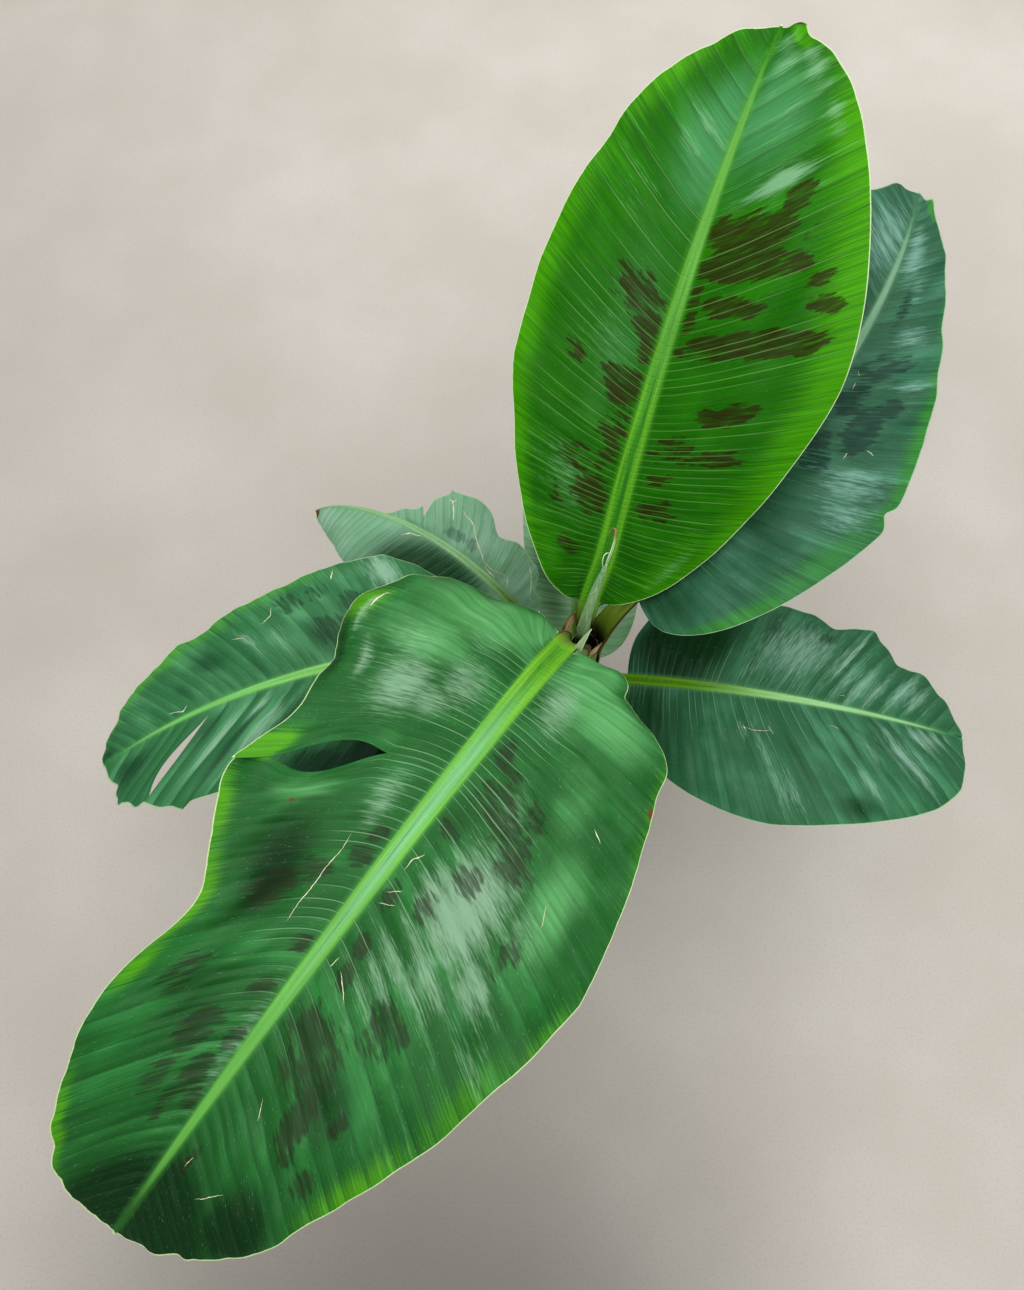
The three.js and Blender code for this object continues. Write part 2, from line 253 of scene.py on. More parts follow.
# The pseudostem and what the leaves grow from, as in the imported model
stem = {"foot": 0.167, "top": 0.545, "footRadius": 0.033, "lowerRadius": 0.029, "topRadius": 0.0235,
        "flareHeight": 0.045}
sheath = {"wrap": 175, "open": 38, "wrapDepth": 0.17, "coreInset": 0.0065, "layerStep": 0.00085}
petioleForm = {"squareness": 2.4, "hollow": 0.62, "blendBelow": 0.03, "blendAbove": 0.035}
veinForm = {"lean": 0.9, "bow": 1.15, "cupBow": 1.5, "foldSpread": 0.07, "quiltHeight": 0.035}

# One entry for each leaf, youngest first, and in it one for each half of the blade. A place on a half is
# (place, reach): place runs from 0 at the blade's foot to 1 at its tip, and reach from midrib to margin.
#   footShift  how far the foot of the blade stands from the curve that the leaf's angles give
#   rise       slope of the petiole's foot, of the blade's foot and of its tip
#   heading    compass direction at the blade's foot and tip, and roll, the turn about the midrib, likewise
#   rib, foot  width and depth of the midrib at the blade's foot, and of the petiole where it leaves the stem
#   veins      (place, millimetres from one side vein to the next)
#   dents      (margin place, spread, share of the width taken away); a negative share is a bulge
#   rolls      (place, spread, reach where it starts, degrees that the surface turns up)
#   folds      (place, spread, reach where it starts, height)
#   pulls      (place, reach, their two spreads, pull towards the tip, lift)
#   tears      place, and the reaches where it starts and closes; gap, how far its lips part, widest early
#              or late by bias; upperPart, the share of gap on the foot's side; lift, how far the other lip
#              dips; overlap and flap, how far the lips lap beyond close and stand apart; decay, how far
#              along the blade its pull is felt
#   blotch, yellow, cool, deep, bloom, dry
#              (place, reach, their two spreads, strength, and for one that leans, its change of place
#              with reach). The blue-green tint and the pale wax haze are partly painted sheen, and deep,
#              the darker green, is partly painted shade.
#   scars      (width in millimetres, then the places that the dry line runs through)
leaves = [
    {
        "name": "leaf_1", "root": (0.006, 0.550), "petiole": 0.075, "petioleBend": 1.35, "length": 0.605,
        "footShift": (-0.0058, 0.0016, 0), "arch": 1, "footFold": 40, "rise": (84, 63, 14),
        "heading": (74.5, 66), "roll": (0, -14), "rib": (0.0235, 0.013), "foot": (0.020, 0.015),
        "pleat": 0.0006, "ruffle": 0.0015, "swell": 0.0016, "seed": 11,
        "left": {
            "width": 0.143, "widest": 0.42, "base": (1.15, 2.1), "tip": (2.35, 1.8), "cup": (10, -4),
            "veins": ((0, 6), (0.3, 7), (0.45, 9), (0.6, 15), (0.75, 24), (1, 30)),
            "dents": [(0.88, 0.09, -0.08), (0.62, 0.15, -0.035)],
            "pulls": [(0.0, 0.1, 0.02, 0.15, -0.005, 0)],
            "blotch": [(0.525, 0.24, 0.035, 0.24, 0.85), (0.49, 0.08, 0.05, 0.1, 0.8),
                       (0.40, 0.15, 0.035, 0.18, 0.85), (0.392, 0.55, 0.02, 0.1, 0.55),
                       (0.215, 0.20, 0.035, 0.2, 0.85), (0.19, 0.55, 0.03, 0.1, 0.4),
                       (0.115, 0.40, 0.022, 0.2, 0.62), (0.32, 0.12, 0.05, 0.14, 0.68),
                       (0.26, 0.35, 0.03, 0.2, 0.5)],
            "yellow": [(0.35, 1.0, 0.4, 0.2, 0.9), (0.78, 0.98, 0.16, 0.2, 0.8),
                       (0.1, 0.8, 0.08, 0.4, 0.5)],
            "cool": [(0.80, 0.15, 0.15, 0.5, 1), (0.5, 0.25, 0.25, 0.3, 0.5)],
            "bloom": [(0.74, 0.35, 0.015, 0.2, 0.5), (0.79, 0.3, 0.02, 0.25, 0.5),
                      (0.62, 0.55, 0.04, 0.2, 0.3), (0.22, 0.45, 0.07, 0.3, 0.5),
                      (0.44, 0.35, 0.05, 0.25, 0.4)],
        },
        "right": {
            "width": 0.168, "widest": 0.51, "base": (1.5, 1.65), "tip": (1.8, 1.95), "cup": (14, -6),
            "veins": ((0, 6), (0.3, 7), (0.45, 9), (0.58, 12), (0.72, 25), (1, 32)),
            "dents": [(0.58, 0.18, -0.045)],
            "pulls": [(0.966, 1.0, 0.014, 0.22, 0.010, 0.004), (0.95, 0.8, 0.02, 0.2, 0, -0.004),
                      (0.0, 0.35, 0.02, 0.3, -0.008, 0)],
            "blotch": [(0.662, 0.62, 0.016, 0.11, 1), (0.640, 0.31, 0.032, 0.36, 1.0, -0.085),
                       (0.650, 0.60, 0.018, 0.08, 0.9), (0.590, 0.32, 0.026, 0.33, 1.1, -0.08),
                       (0.528, 0.31, 0.018, 0.20, 0.95, -0.075), (0.466, 0.43, 0.022, 0.42, 1.15, -0.062),
                       (0.554, 0.68, 0.012, 0.05, 1.1), (0.524, 0.77, 0.011, 0.07, 1.1),
                       (0.488, 0.82, 0.013, 0.10, 0.95, -0.05), (0.545, 0.06, 0.05, 0.05, 0.7),
                       (0.367, 0.44, 0.016, 0.19, 1.1), (0.305, 0.47, 0.013, 0.22, 0.8),
                       (0.32, 0.18, 0.03, 0.14, 0.6), (0.27, 0.18, 0.012, 0.12, 0.7),
                       (0.213, 0.22, 0.022, 0.22, 0.6)],
            "yellow": [(0.42, 1.0, 0.5, 0.27, 0.95), (0.70, 1.0, 0.16, 0.26, 0.9),
                       (0.12, 0.8, 0.1, 0.4, 0.6), (0.95, 0.85, 0.03, 0.2, 1.2)],
            "cool": [(0.83, 0.3, 0.13, 0.55, 1)],
            "bloom": [(0.93, 0.45, 0.05, 0.35, 0.6), (0.87, 0.78, 0.06, 0.16, 0.75),
                      (0.76, 0.84, 0.05, 0.07, 0.6), (0.700, 0.47, 0.024, 0.20, 1.2),
                      (0.80, 0.45, 0.025, 0.25, 0.5), (0.12, 0.75, 0.06, 0.12, 0.5)],
            "dry": [(0.972, 1.0, 0.008, 0.12, 1.2)],
        },
    },
    {
        "name": "leaf_2", "root": (0.008, 0.558), "petiole": 0.137, "petioleBend": 2.1, "length": 0.725,
        "footShift": (-0.0072, -0.0108, 0), "arch": 0.8, "footFold": 12, "rise": (90, 33, -31),
        "heading": (236.5, 230), "roll": (-1.5, -9.5), "rib": (0.026, 0.015), "foot": (0.028, 0.019),
        "pleat": 0.0016, "ruffle": 0.0016, "swell": 0.0022, "seed": 12,
        "left": {
            "width": 0.210, "widest": 0.43, "base": (1.15, 3.5), "tip": (1.2, 2.2), "cup": (10, -10),
            "veins": ((0, 8), (0.31, 9.5), (0.38, 18), (0.6, 25), (0.75, 16), (1, 10)),
            "dents": [(0.90, 0.04, -0.08), (0.05, 0.032, 0.25), (0.12, 0.032, -0.065)],
            "pulls": [(0.965, 1, 0.013, 0.22, -0.006, 0), (0.908, 1, 0.015, 0.22, -0.006, 0),
                      (0.01, 1, 0.03, 0.5, -0.008, 0)],
            "folds": [(0.50, 0.035, 0.35, 0.006), (0.42, 0.03, 0.3, -0.004)],
            "blotch": [(0.22, 0.08, 0.02, 0.05, 0.9), (0.282, 0.22, 0.028, 0.17, 0.9),
                       (0.236, 0.13, 0.012, 0.1, 0.8), (0.254, 0.40, 0.02, 0.07, 0.75),
                       (0.302, 0.40, 0.025, 0.12, 0.9), (0.344, 0.09, 0.012, 0.06, 1),
                       (0.36, 0.30, 0.02, 0.08, 0.7), (0.36, 0.64, 0.03, 0.05, 0.6),
                       (0.51, 0.11, 0.02, 0.045, 1), (0.452, 0.07, 0.02, 0.05, 0.9),
                       (0.42, 0.23, 0.02, 0.07, 0.8), (0.548, 0.15, 0.02, 0.05, 1),
                       (0.512, 0.53, 0.02, 0.07, 0.9), (0.628, 0.30, 0.050, 0.24, 0.88),
                       (0.672, 0.50, 0.03, 0.1, 0.9), (0.53, 0.46, 0.04, 0.12, 0.75),
                       (0.616, 0.66, 0.03, 0.05, 0.8), (0.692, 0.61, 0.02, 0.05, 1),
                       (0.682, 0.80, 0.02, 0.07, 0.8), (0.84, 0.17, 0.03, 0.05, 0.8)],
            "yellow": [(0.62, 0.98, 0.10, 0.11, 0.8), (0.47, 0.98, 0.09, 0.14, 0.6),
                       (0.36, 1, 0.06, 0.07, 0.6), (0.15, 1, 0.12, 0.08, 0.5)],
            "cool": [(0.05, 0.45, 0.10, 0.5, 1.2), (0.20, 0.55, 0.08, 0.2, 0.5),
                     (0.29, 0.68, 0.07, 0.15, 0.8)],
            "deep": [(0.93, 0.5, 0.10, 0.85, 1.7), (0.80, 0.80, 0.08, 0.3, 1.2),
                     (0.62, 0.55, 0.06, 0.2, 0.7), (0.33, 0.1, 0.08, 0.12, 0.5)],
            "bloom": [(0.40, 0.22, 0.05, 0.10, 0.9), (0.12, 0.18, 0.05, 0.14, 0.9),
                      (0.38, 0.37, 0.075, 0.19, 1.25), (0.338, 0.46, 0.06, 0.12, 0.6),
                      (0.412, 0.62, 0.03, 0.14, 0.9), (0.334, 0.61, 0.03, 0.12, 0.6),
                      (0.27, 0.28, 0.05, 0.12, 0.5), (0.50, 0.30, 0.05, 0.16, 0.7),
                      (0.46, 0.45, 0.03, 0.16, 0.8), (0.44, 0.85, 0.02, 0.15, 0.5)],
            "dry": [(0.148, 0.985, 0.006, 0.02, 1.3)],
            "scars": [(1.5, (0.55, 0.11), (0.555, 0.18), (0.56, 0.24)),
                      (1.2, (0.388, 0.07), (0.405, 0.035), (0.42, 0.04)),
                      (0.8, (0.455, 0.03), (0.435, 0.10)), (0.8, (0.469, 0.04), (0.452, 0.115)),
                      (1.1, (0.298, 0.64), (0.314, 0.67)), (1.2, (0.706, 0.25), (0.722, 0.33)),
                      (1.1, (0.848, 0.17), (0.828, 0.17)),
                      (0.9, (0.844, 0.47), (0.82, 0.52), (0.796, 0.55)),
                      (1.3, (0.560, 0.05), (0.544, 0.06)), (1.3, (0.206, 0.69), (0.212, 0.75))],
        },
        "right": {
            "width": 0.188, "widest": 0.185, "base": (1.8, 3.6), "tip": (0.75, 4.5), "cup": (10, -10),
            "lean": 1.4, "bow": 1.4, "veins": ((0, 7), (0.15, 9), (0.55, 12), (0.8, 16), (1, 12)),
            "pulls": [(0.03, 1, 0.04, 0.6, -0.045, 0), (0.294, 0.8, 0.05, 0.25, 0.013, 0)],
            "dents": [(0.025, 0.045, 0.68), (0.092, 0.015, 0.055), (0.125, 0.030, 0.045),
                      (0.21, 0.035, -0.03), (0.27, 0.03, 0.05), (0.345, 0.06, 0.115), (0.47, 0.04, -0.05),
                      (0.62, 0.10, 0.22)],
            "rolls": [(0.15, 0.05, 0.83, -48), (0.47, 0.06, 0.25, -24), (0.47, 0.06, 0.62, 34)],
            "tears": [{"place": 0.294, "start": 0.325, "close": 0.83, "gap": 0.034, "upperPart": 0.41,
                       "lift": 0.012, "bias": 1.05, "decay": 0.055, "overlap": 0.012, "flap": 0.005}],
            "blotch": [(0.478, 0.55, 0.03, 0.17, 1), (0.458, 0.34, 0.02, 0.12, 0.85),
                       (0.404, 0.09, 0.015, 0.06, 1), (0.738, 0.20, 0.03, 0.1, 1),
                       (0.694, 0.08, 0.02, 0.07, 1), (0.672, 0.34, 0.04, 0.13, 0.85),
                       (0.73, 0.45, 0.03, 0.1, 0.75), (0.578, 0.63, 0.03, 0.1, 0.65),
                       (0.780, 0.09, 0.02, 0.08, 0.9), (0.436, 0.12, 0.02, 0.09, 0.8),
                       (0.56, 0.10, 0.015, 0.08, 0.7), (0.62, 0.12, 0.012, 0.1, 0.8),
                       (0.78, 0.30, 0.03, 0.08, 0.6)],
            "yellow": [(0.115, 0.93, 0.02, 0.09, 1.2), (0.282, 0.92, 0.016, 0.10, 1.7),
                       (0.36, 1, 0.05, 0.09, 1.1), (0.47, 1, 0.09, 0.10, 1.0),
                       (0.55, 0.93, 0.03, 0.10, 0.9), (0.76, 0.98, 0.1, 0.07, 0.9)],
            "cool": [(0.04, 0.45, 0.08, 0.45, 1.2), (0.13, 0.5, 0.05, 0.3, 0.8),
                     (0.335, 0.6, 0.03, 0.2, 0.8)],
            "deep": [(0.45, 0.60, 0.09, 0.25, 1.0), (0.94, 0.5, 0.09, 0.8, 1.6),
                     (0.17, 0.96, 0.06, 0.05, 0.8), (0.62, 0.5, 0.1, 0.25, 0.6)],
            "bloom": [(0.17, 0.22, 0.05, 0.16, 0.8), (0.140, 0.57, 0.03, 0.2, 0.5),
                      (0.20, 0.54, 0.05, 0.18, 1.0), (0.212, 0.34, 0.03, 0.16, 0.8),
                      (0.354, 0.20, 0.05, 0.1, 0.8), (0.125, 0.885, 0.03, 0.025, 1.0),
                      (0.18, 0.80, 0.03, 0.04, 0.9), (0.70, 0.05, 0.1, 0.08, 0.6),
                      (0.10, 0.3, 0.04, 0.2, 0.4)],
            "dry": [(0.36, 0.65, 0.007, 0.03, 0.8)],
            "scars": [(1.6, (0.408, 0.25), (0.428, 0.25), (0.456, 0.28), (0.506, 0.29), (0.530, 0.26)),
                      (2.2, (0.120, 0.87), (0.110, 0.882), (0.100, 0.89))],
        },
    },
    {
        "name": "leaf_3", "root": (0.008, 0.540), "petiole": 0.119, "petioleBend": 1.55, "length": 0.530,
        "arch": 1, "footFold": 15, "rise": (79, 47, 0), "heading": (26.5, 74), "roll": (-2, 10),
        "rib": (0.019, 0.012), "foot": (0.034, 0.016), "pleat": 0.0014, "ruffle": 0.002, "swell": 0.002,
        "seed": 13,
        "left": {
            "width": 0.137, "widest": 0.45, "base": (2, 2), "tip": (2, 2.2), "cup": (8, -10),
            "veins": ((0, 8), (0.4, 12), (1, 15)),
            "pulls": [(0.95, 0.95, 0.02, 0.25, 0.006, 0)],
            "bloom": [(0.85, 0.3, 0.1, 0.5, 0.8), (0.5, 0.4, 0.1, 0.3, 0.4)],
        },
        "right": {
            "width": 0.128, "widest": 0.41, "base": (1.35, 3.4), "tip": (1.05, 1.45), "cup": (8, -14),
            "veins": ((0, 8), (0.3, 13), (0.6, 16), (1, 15)),
            "dents": [(0.50, 0.16, -0.045), (0.437, 0.013, 0.06), (0.76, 0.03, 0.05)],
            "pulls": [(0.946, 1.0, 0.02, 0.2, 0.012, 0.003), (0.90, 1, 0.03, 0.2, 0.004, 0)],
            "blotch": [(0.478, 0.47, 0.045, 0.16, 1.2), (0.54, 0.22, 0.035, 0.16, 1.0),
                       (0.60, 0.40, 0.03, 0.3, 0.85), (0.41, 0.25, 0.025, 0.15, 0.8),
                       (0.52, 0.62, 0.02, 0.1, 0.9), (0.72, 0.35, 0.05, 0.1, 0.6),
                       (0.45, 0.15, 0.02, 0.12, 0.8)],
            "yellow": [(0.25, 0.9, 0.12, 0.2, 0.7), (0.13, 0.95, 0.1, 0.15, 0.9),
                       (0.45, 1, 0.2, 0.14, 0.9), (0.7, 1, 0.2, 0.1, 0.5), (0.94, 0.92, 0.03, 0.15, 1.3)],
            "deep": [(0.05, 0.3, 0.08, 0.6, 0.8), (0.29, 0.25, 0.05, 0.3, 0.6),
                     (0.6, 0.8, 0.05, 0.2, 0.3)],
            "bloom": [(0.38, 0.62, 0.035, 0.3, 0.8), (0.33, 0.70, 0.03, 0.25, 0.7),
                      (0.66, 0.6, 0.03, 0.25, 0.7), (0.85, 0.30, 0.07, 0.3, 0.9),
                      (0.56, 0.75, 0.02, 0.2, 0.6), (0.76, 0.5, 0.04, 0.15, 0.6)],
            "dry": [(0.962, 1.0, 0.008, 0.10, 1.2)],
            "scars": [(1.3, (0.424, 0.44), (0.436, 0.44)), (1.0, (0.444, 0.58), (0.436, 0.65)),
                      (1.0, (0.598, 0.13), (0.588, 0.17)), (0.9, (0.575, 0.17), (0.558, 0.18))],
        },
    },
    {
        "name": "leaf_4", "root": (0.018, 0.485), "petiole": 0.110, "petioleBend": 1.5, "length": 0.505,
        "arch": 1, "footFold": 12, "rise": (66, 26, -31), "heading": (187.5, 205), "roll": (0, 3),
        "rib": (0.015, 0.010), "foot": (0.028, 0.015), "pleat": 0.002, "ruffle": 0.0011, "swell": 0.002,
        "seed": 14,
        "left": {
            "width": 0.103, "widest": 0.45, "base": (2, 2), "tip": (2.35, 4.2), "cup": (10, -20),
            "lean": 1.9, "bow": 1.3, "veins": ((0, 12), (0.3, 20), (1, 22)),
            "dents": [(0.93, 0.02, 0.12), (0.84, 0.015, -0.08), (0.975, 0.008, 0.12), (0.13, 0.15, -1.2),
                      (0.45, 0.07, -0.42)],
            "blotch": [(0.16, 0.8, 0.12, 0.4, 1.2), (0.265, 0.95, 0.085, 0.18, 1.1)],
            "pulls": [(0.79, 1, 0.02, 0.2, 0.008, 0), (0.88, 1, 0.02, 0.15, -0.007, 0)],
            "tears": [{"place": 0.69, "start": 0.02, "close": 0.95, "gap": 0.019, "lift": -0.002,
                       "bias": 1.5, "decay": 0.03, "overlap": 0, "flap": 0, "upperPart": 0.3}],
            "bloom": [(0.488, 0.50, 0.02, 0.35, 1), (0.60, 0.47, 0.022, 0.3, 0.9),
                      (0.42, 0.35, 0.02, 0.3, 0.8), (0.55, 0.2, 0.02, 0.15, 0.6)],
            "deep": [(0.54, 0.5, 0.02, 0.4, 0.9), (0.45, 0.5, 0.015, 0.4, 0.8),
                     (0.85, 0.6, 0.08, 0.4, 0.9), (0.66, 0.3, 0.03, 0.3, 0.8),
                     (0.38, 0.5, 0.02, 0.4, 0.6), (0.16, 0.7, 0.13, 0.6, 1.5),
                     (0.265, 0.95, 0.10, 0.22, 1.4)],
        },
        "right": {
            "width": 0.128, "widest": 0.265, "base": (1.2, 1.35), "tip": (1.35, 1.8), "cup": (12, -20),
            "veins": ((0, 10), (0.4, 14), (1, 15)),
            "dents": [(0.85, 0.09, -0.05)],
            "blotch": [(0.37, 0.32, 0.04, 0.18, 0.85), (0.30, 0.55, 0.03, 0.15, 0.9),
                       (0.41, 0.76, 0.03, 0.12, 0.8), (0.35, 0.75, 0.025, 0.1, 0.7)],
            "yellow": [(0.70, 1.0, 0.28, 0.20, 0.85), (0.42, 1.0, 0.15, 0.14, 0.7)],
            "deep": [(0.40, 0.3, 0.035, 0.3, 0.8), (0.62, 0.55, 0.05, 0.25, 0.8),
                     (0.71, 0.35, 0.03, 0.2, 0.6), (0.97, 0.5, 0.04, 0.5, 0.9),
                     (0.55, 0.2, 0.02, 0.2, 0.6)],
            "bloom": [(0.52, 0.54, 0.02, 0.2, 0.6), (0.22, 0.80, 0.03, 0.25, 1.1),
                      (0.47, 0.40, 0.02, 0.25, 0.5)],
            "dry": [(0.985, 0.9, 0.01, 0.1, 1)],
            "scars": [(1.3, (0.298, 0.94), (0.306, 0.89), (0.310, 0.85)),
                      (1.0, (0.436, 0.80), (0.450, 0.71), (0.476, 0.65)),
                      (1.2, (0.544, 0.65), (0.524, 0.59)),
                      (1.6, (0.780, 0.17), (0.752, 0.07), (0.734, 0.13))],
        },
    },
    {
        "name": "leaf_5", "root": (0.020, 0.400), "petiole": 0.073, "petioleBend": 2.05, "length": 0.425,
        "arch": 1, "footFold": 10, "rise": (71, 23, -21), "heading": (-12, -10), "roll": (5, -18),
        "rib": (0.014, 0.009), "foot": (0.028, 0.015), "pleat": 0.0018, "ruffle": 0.0022, "swell": 0.002,
        "seed": 15,
        "left": {
            "width": 0.120, "widest": 0.425, "base": (1.7, 3), "tip": (2.1, 2.3), "cup": (14, -10),
            "veins": ((0, 7), (0.3, 11), (0.5, 14), (0.6, 24), (1, 24)),
            "dents": [(0.07, 0.06, -0.16), (0.60, 0.04, 0.07), (0.83, 0.045, 0.16), (0.95, 0.03, 0.12)],
            "folds": [(0.55, 0.02, 0.3, 0.006), (0.66, 0.03, 0.5, -0.005)],
            "deep": [(0.14, 0.5, 0.13, 0.6, 1.5), (0.47, 0.78, 0.03, 0.15, 0.7),
                     (0.33, 0.7, 0.03, 0.3, 0.6)],
            "bloom": [(0.42, 0.50, 0.12, 0.40, 0.8), (0.46, 0.60, 0.03, 0.2, 0.6),
                      (0.64, 0.35, 0.08, 0.4, 0.7), (0.76, 0.50, 0.08, 0.35, 0.75),
                      (0.548, 0.6, 0.010, 0.45, 1.2), (0.33, 0.2, 0.03, 0.15, 0.5)],
            "scars": [(1.0, (0.598, 0.12), (0.612, 0.13))],
        },
        "right": {
            "width": 0.160, "widest": 0.46, "base": (1.65, 2.35), "tip": (1.25, 3.5), "cup": (8, -22),
            "veins": ((0, 6), (0.2, 7), (0.3, 12), (0.5, 17), (1, 20)),
            "deep": [(0.08, 0.4, 0.12, 0.7, 0.8), (0.50, 0.88, 0.06, 0.14, 0.8),
                     (0.42, 0.5, 0.015, 0.4, 0.6), (0.58, 0.35, 0.015, 0.3, 0.7),
                     (0.67, 0.3, 0.015, 0.3, 0.6)],
            "bloom": [(0.72, 0.50, 0.05, 0.35, 0.8), (0.84, 0.25, 0.08, 0.25, 0.8),
                      (0.56, 0.70, 0.03, 0.16, 0.6), (0.36, 0.75, 0.03, 0.2, 0.6),
                      (0.31, 0.30, 0.02, 0.1, 0.5), (0.35, 0.4, 0.02, 0.3, 0.5),
                      (0.62, 0.4, 0.015, 0.3, 0.6)],
            "scars": [(1.1, (0.556, 0.18), (0.566, 0.19), (0.576, 0.22)),
                      (0.9, (0.306, 0.28), (0.345, 0.29), (0.388, 0.28)),
                      (1.3, (0.318, 0.26), (0.322, 0.31)), (1.2, (0.385, 0.24), (0.388, 0.31))],
        },
    },
    {
        "name": "leaf_6", "root": (0.020, 0.380), "petiole": 0.118, "petioleBend": 1.8, "length": 0.360,
        "arch": 1.5, "footFold": 0, "rise": (69, 39, -52), "heading": (139.5, 163.5), "roll": (0, -1),
        "rib": (0.013, 0.008), "foot": (0.026, 0.014), "pleat": 0.0012, "ruffle": 0.0015, "swell": 0.0012,
        "seed": 16,
        "left": {
            "width": 0.112, "widest": 0.42, "base": (2, 2), "tip": (1.55, 1.3), "cup": (-5, -40),
            "veins": ((0, 9), (1, 12)),
            "deep": [(0.36, 0.45, 0.24, 0.6, 1.3)],
            "bloom": [(0.85, 0.5, 0.15, 0.4, 0.5)],
            "dry": [(0.97, 0.6, 0.03, 0.6, 1.3)],
            "scars": [(2.2, (0.552, 0.14), (0.535, 0.05), (0.515, 0.03), (0.500, 0.01))],
        },
        "right": {
            "width": 0.072, "widest": 0.49, "base": (2, 1.9), "tip": (0.5, 0.65), "cup": (35, 15),
            "dents": [(0.46, 0.03, 0.08), (0.487, 0.016, 0.07), (0.534, 0.0065, 0.62), (0.57, 0.03, 0.25),
                      (0.67, 0.055, 0.8), (0.80, 0.15, 0.97), (0.92, 0.08, 0.9), (0.30, 0.045, 0.24),
                      (0.14, 0.03, -0.08), (0.085, 0.02, 0.2)],
            "veins": ((0, 9), (1, 12)),
            "bloom": [(0.25, 0.6, 0.25, 0.5, 0.45), (0.5, 0.5, 0.1, 0.4, 0.3)],
            "blotch": [(0.39, 0.22, 0.04, 0.12, 0.9), (0.335, 0.22, 0.02, 0.12, 0.9)],
            "scars": [(2.2, (0.420, 0.88), (0.412, 0.78), (0.408, 0.70), (0.406, 0.47)),
                      (2.0, (0.400, 0.86), (0.411, 0.78)),
                      (2.0, (0.380, 0.74), (0.370, 0.65), (0.348, 0.59), (0.316, 0.32), (0.274, 0.18),
                       (0.234, 0.15), (0.186, 0.24)),
                      (2.6, (0.268, 0.10), (0.24, 0.06), (0.214, 0.03)),
                      (2.2, (0.180, 0.26), (0.165, 0.12)),
                      (2.2, (0.148, 0.87), (0.110, 0.68), (0.064, 0.57))],
        },
    },
    {
        "name": "leaf_7", "root": (0.022, 0.310), "petiole": 0.088, "petioleBend": 2.1, "length": 0.350,
        "arch": 1, "footFold": 15, "rise": (75, 42, 5), "heading": (90, 96), "roll": (-9, 0),
        "rib": (0.012, 0.008), "foot": (0.026, 0.013), "pleat": 0.0012, "ruffle": 0.0015, "swell": 0.001,
        "seed": 17,
        "left": {
            "width": 0.068, "widest": 0.44, "base": (2, 2), "tip": (2, 2), "cup": (12, -10),
            "veins": ((0, 8), (1, 10)),
            "deep": [(0.25, 0.5, 0.3, 0.6, 0.7)],
        },
        "right": {
            "width": 0.088, "widest": 0.42, "base": (2.4, 4), "tip": (2, 2), "cup": (12, -10),
            "veins": ((0, 8), (1, 10)),
            "bloom": [(0.15, 0.7, 0.12, 0.3, 0.7)],
            "pulls": [(0.03, 0.75, 0.12, 0.45, -0.016, 0)],
        },
    },
]
halves = (("left", 1), ("right", -1))


def growRib(leaf):
    # The petiole and midrib as one curve: each step adds (cos rise cos heading, cos rise sin heading,
    # sin rise) x stride. Distance d is 0 at the blade's foot and negative on the petiole, whose length is p.
    # Near d = 0 the curve is moved by footShift smooth(-p, -0.3 p, d) smooth(0.07, -0.01, d). It gives the
    # point on the rib's upper face and the directions along it, to the leaf's left and out of that face.
    length, petiole = leaf["length"], leaf["petiole"]

    def axesAt(distance):
        onBlade = np.clip(distance / length, 0, 1)
        onPetiole = np.clip(1 + distance / petiole, 0, 1)
        onStalk = mix(leaf["rise"][0], leaf["rise"][1], onPetiole ** leaf["petioleBend"])
        onLeaf = mix(leaf["rise"][1], leaf["rise"][2], onBlade ** leaf["arch"])
        rise = np.radians(np.where(distance < 0, onStalk, onLeaf))[..., None]
        heading, roll = [np.radians(mix(*leaf[turn], onBlade))[..., None] for turn in ("heading", "roll")]
        flat = np.concatenate([np.cos(heading), np.sin(heading), 0 * heading], -1)
        along = flat * np.cos(rise) + np.array([0, 0, 1]) * np.sin(rise)
        level = np.concatenate([-np.sin(heading), np.cos(heading), 0 * heading], -1)
        left = level * np.cos(roll) + np.cross(along, level) * np.sin(roll)
        return along, left, np.cross(along, left)

    steps = 1600
    stride = (petiole + length) / steps
    fromAxis, height = leaf["root"]
    heading = np.radians(leaf["heading"][0])
    start = np.array([fromAxis * np.cos(heading), fromAxis * np.sin(heading), height])
    moves = axesAt(-petiole + (np.arange(steps) + 0.5) * stride)[0] * stride
    trail = start + np.concatenate([np.zeros((1, 3)), np.cumsum(moves, 0)])

    def rib(distance):
        along, left, up = axesAt(distance)
        step = (distance + petiole) / stride
        point = np.stack([np.interp(step, np.arange(steps + 1), trail[:, axis]) for axis in range(3)], -1)
        shifted = smooth(-petiole, -0.3 * petiole, distance) * smooth(0.07, -0.01, distance)
        point = point + shifted[..., None] * np.array(leaf.get("footShift", (0, 0, 0)))
        return point + along * np.minimum(step, 0)[..., None] * stride, along, left, up

    return rib


def halfWidth(half, place):
    # width (1 - t^a)^(1 / b), where t rises from the widest place to the foot and to the tip, and a and b
    # are the two numbers of base and of tip, less the margin's dents
    toFoot = np.clip(1 - place / half["widest"], 0, 1)
    toTip = np.clip((place - half["widest"]) / (1 - half["widest"]), 0, 1)
    footward = np.clip(1 - toFoot ** half["base"][0], 0, 1) ** (1 / half["base"][1])
    tipward = np.clip(1 - toTip ** half["tip"][0], 0, 1) ** (1 / half["tip"][1])
    width = half["width"] * np.where(place < half["widest"], footward, tipward)
    for at, spread, share in half.get("dents", ()):
        width = width * (1 - share * bell(place, at, spread))
    return width


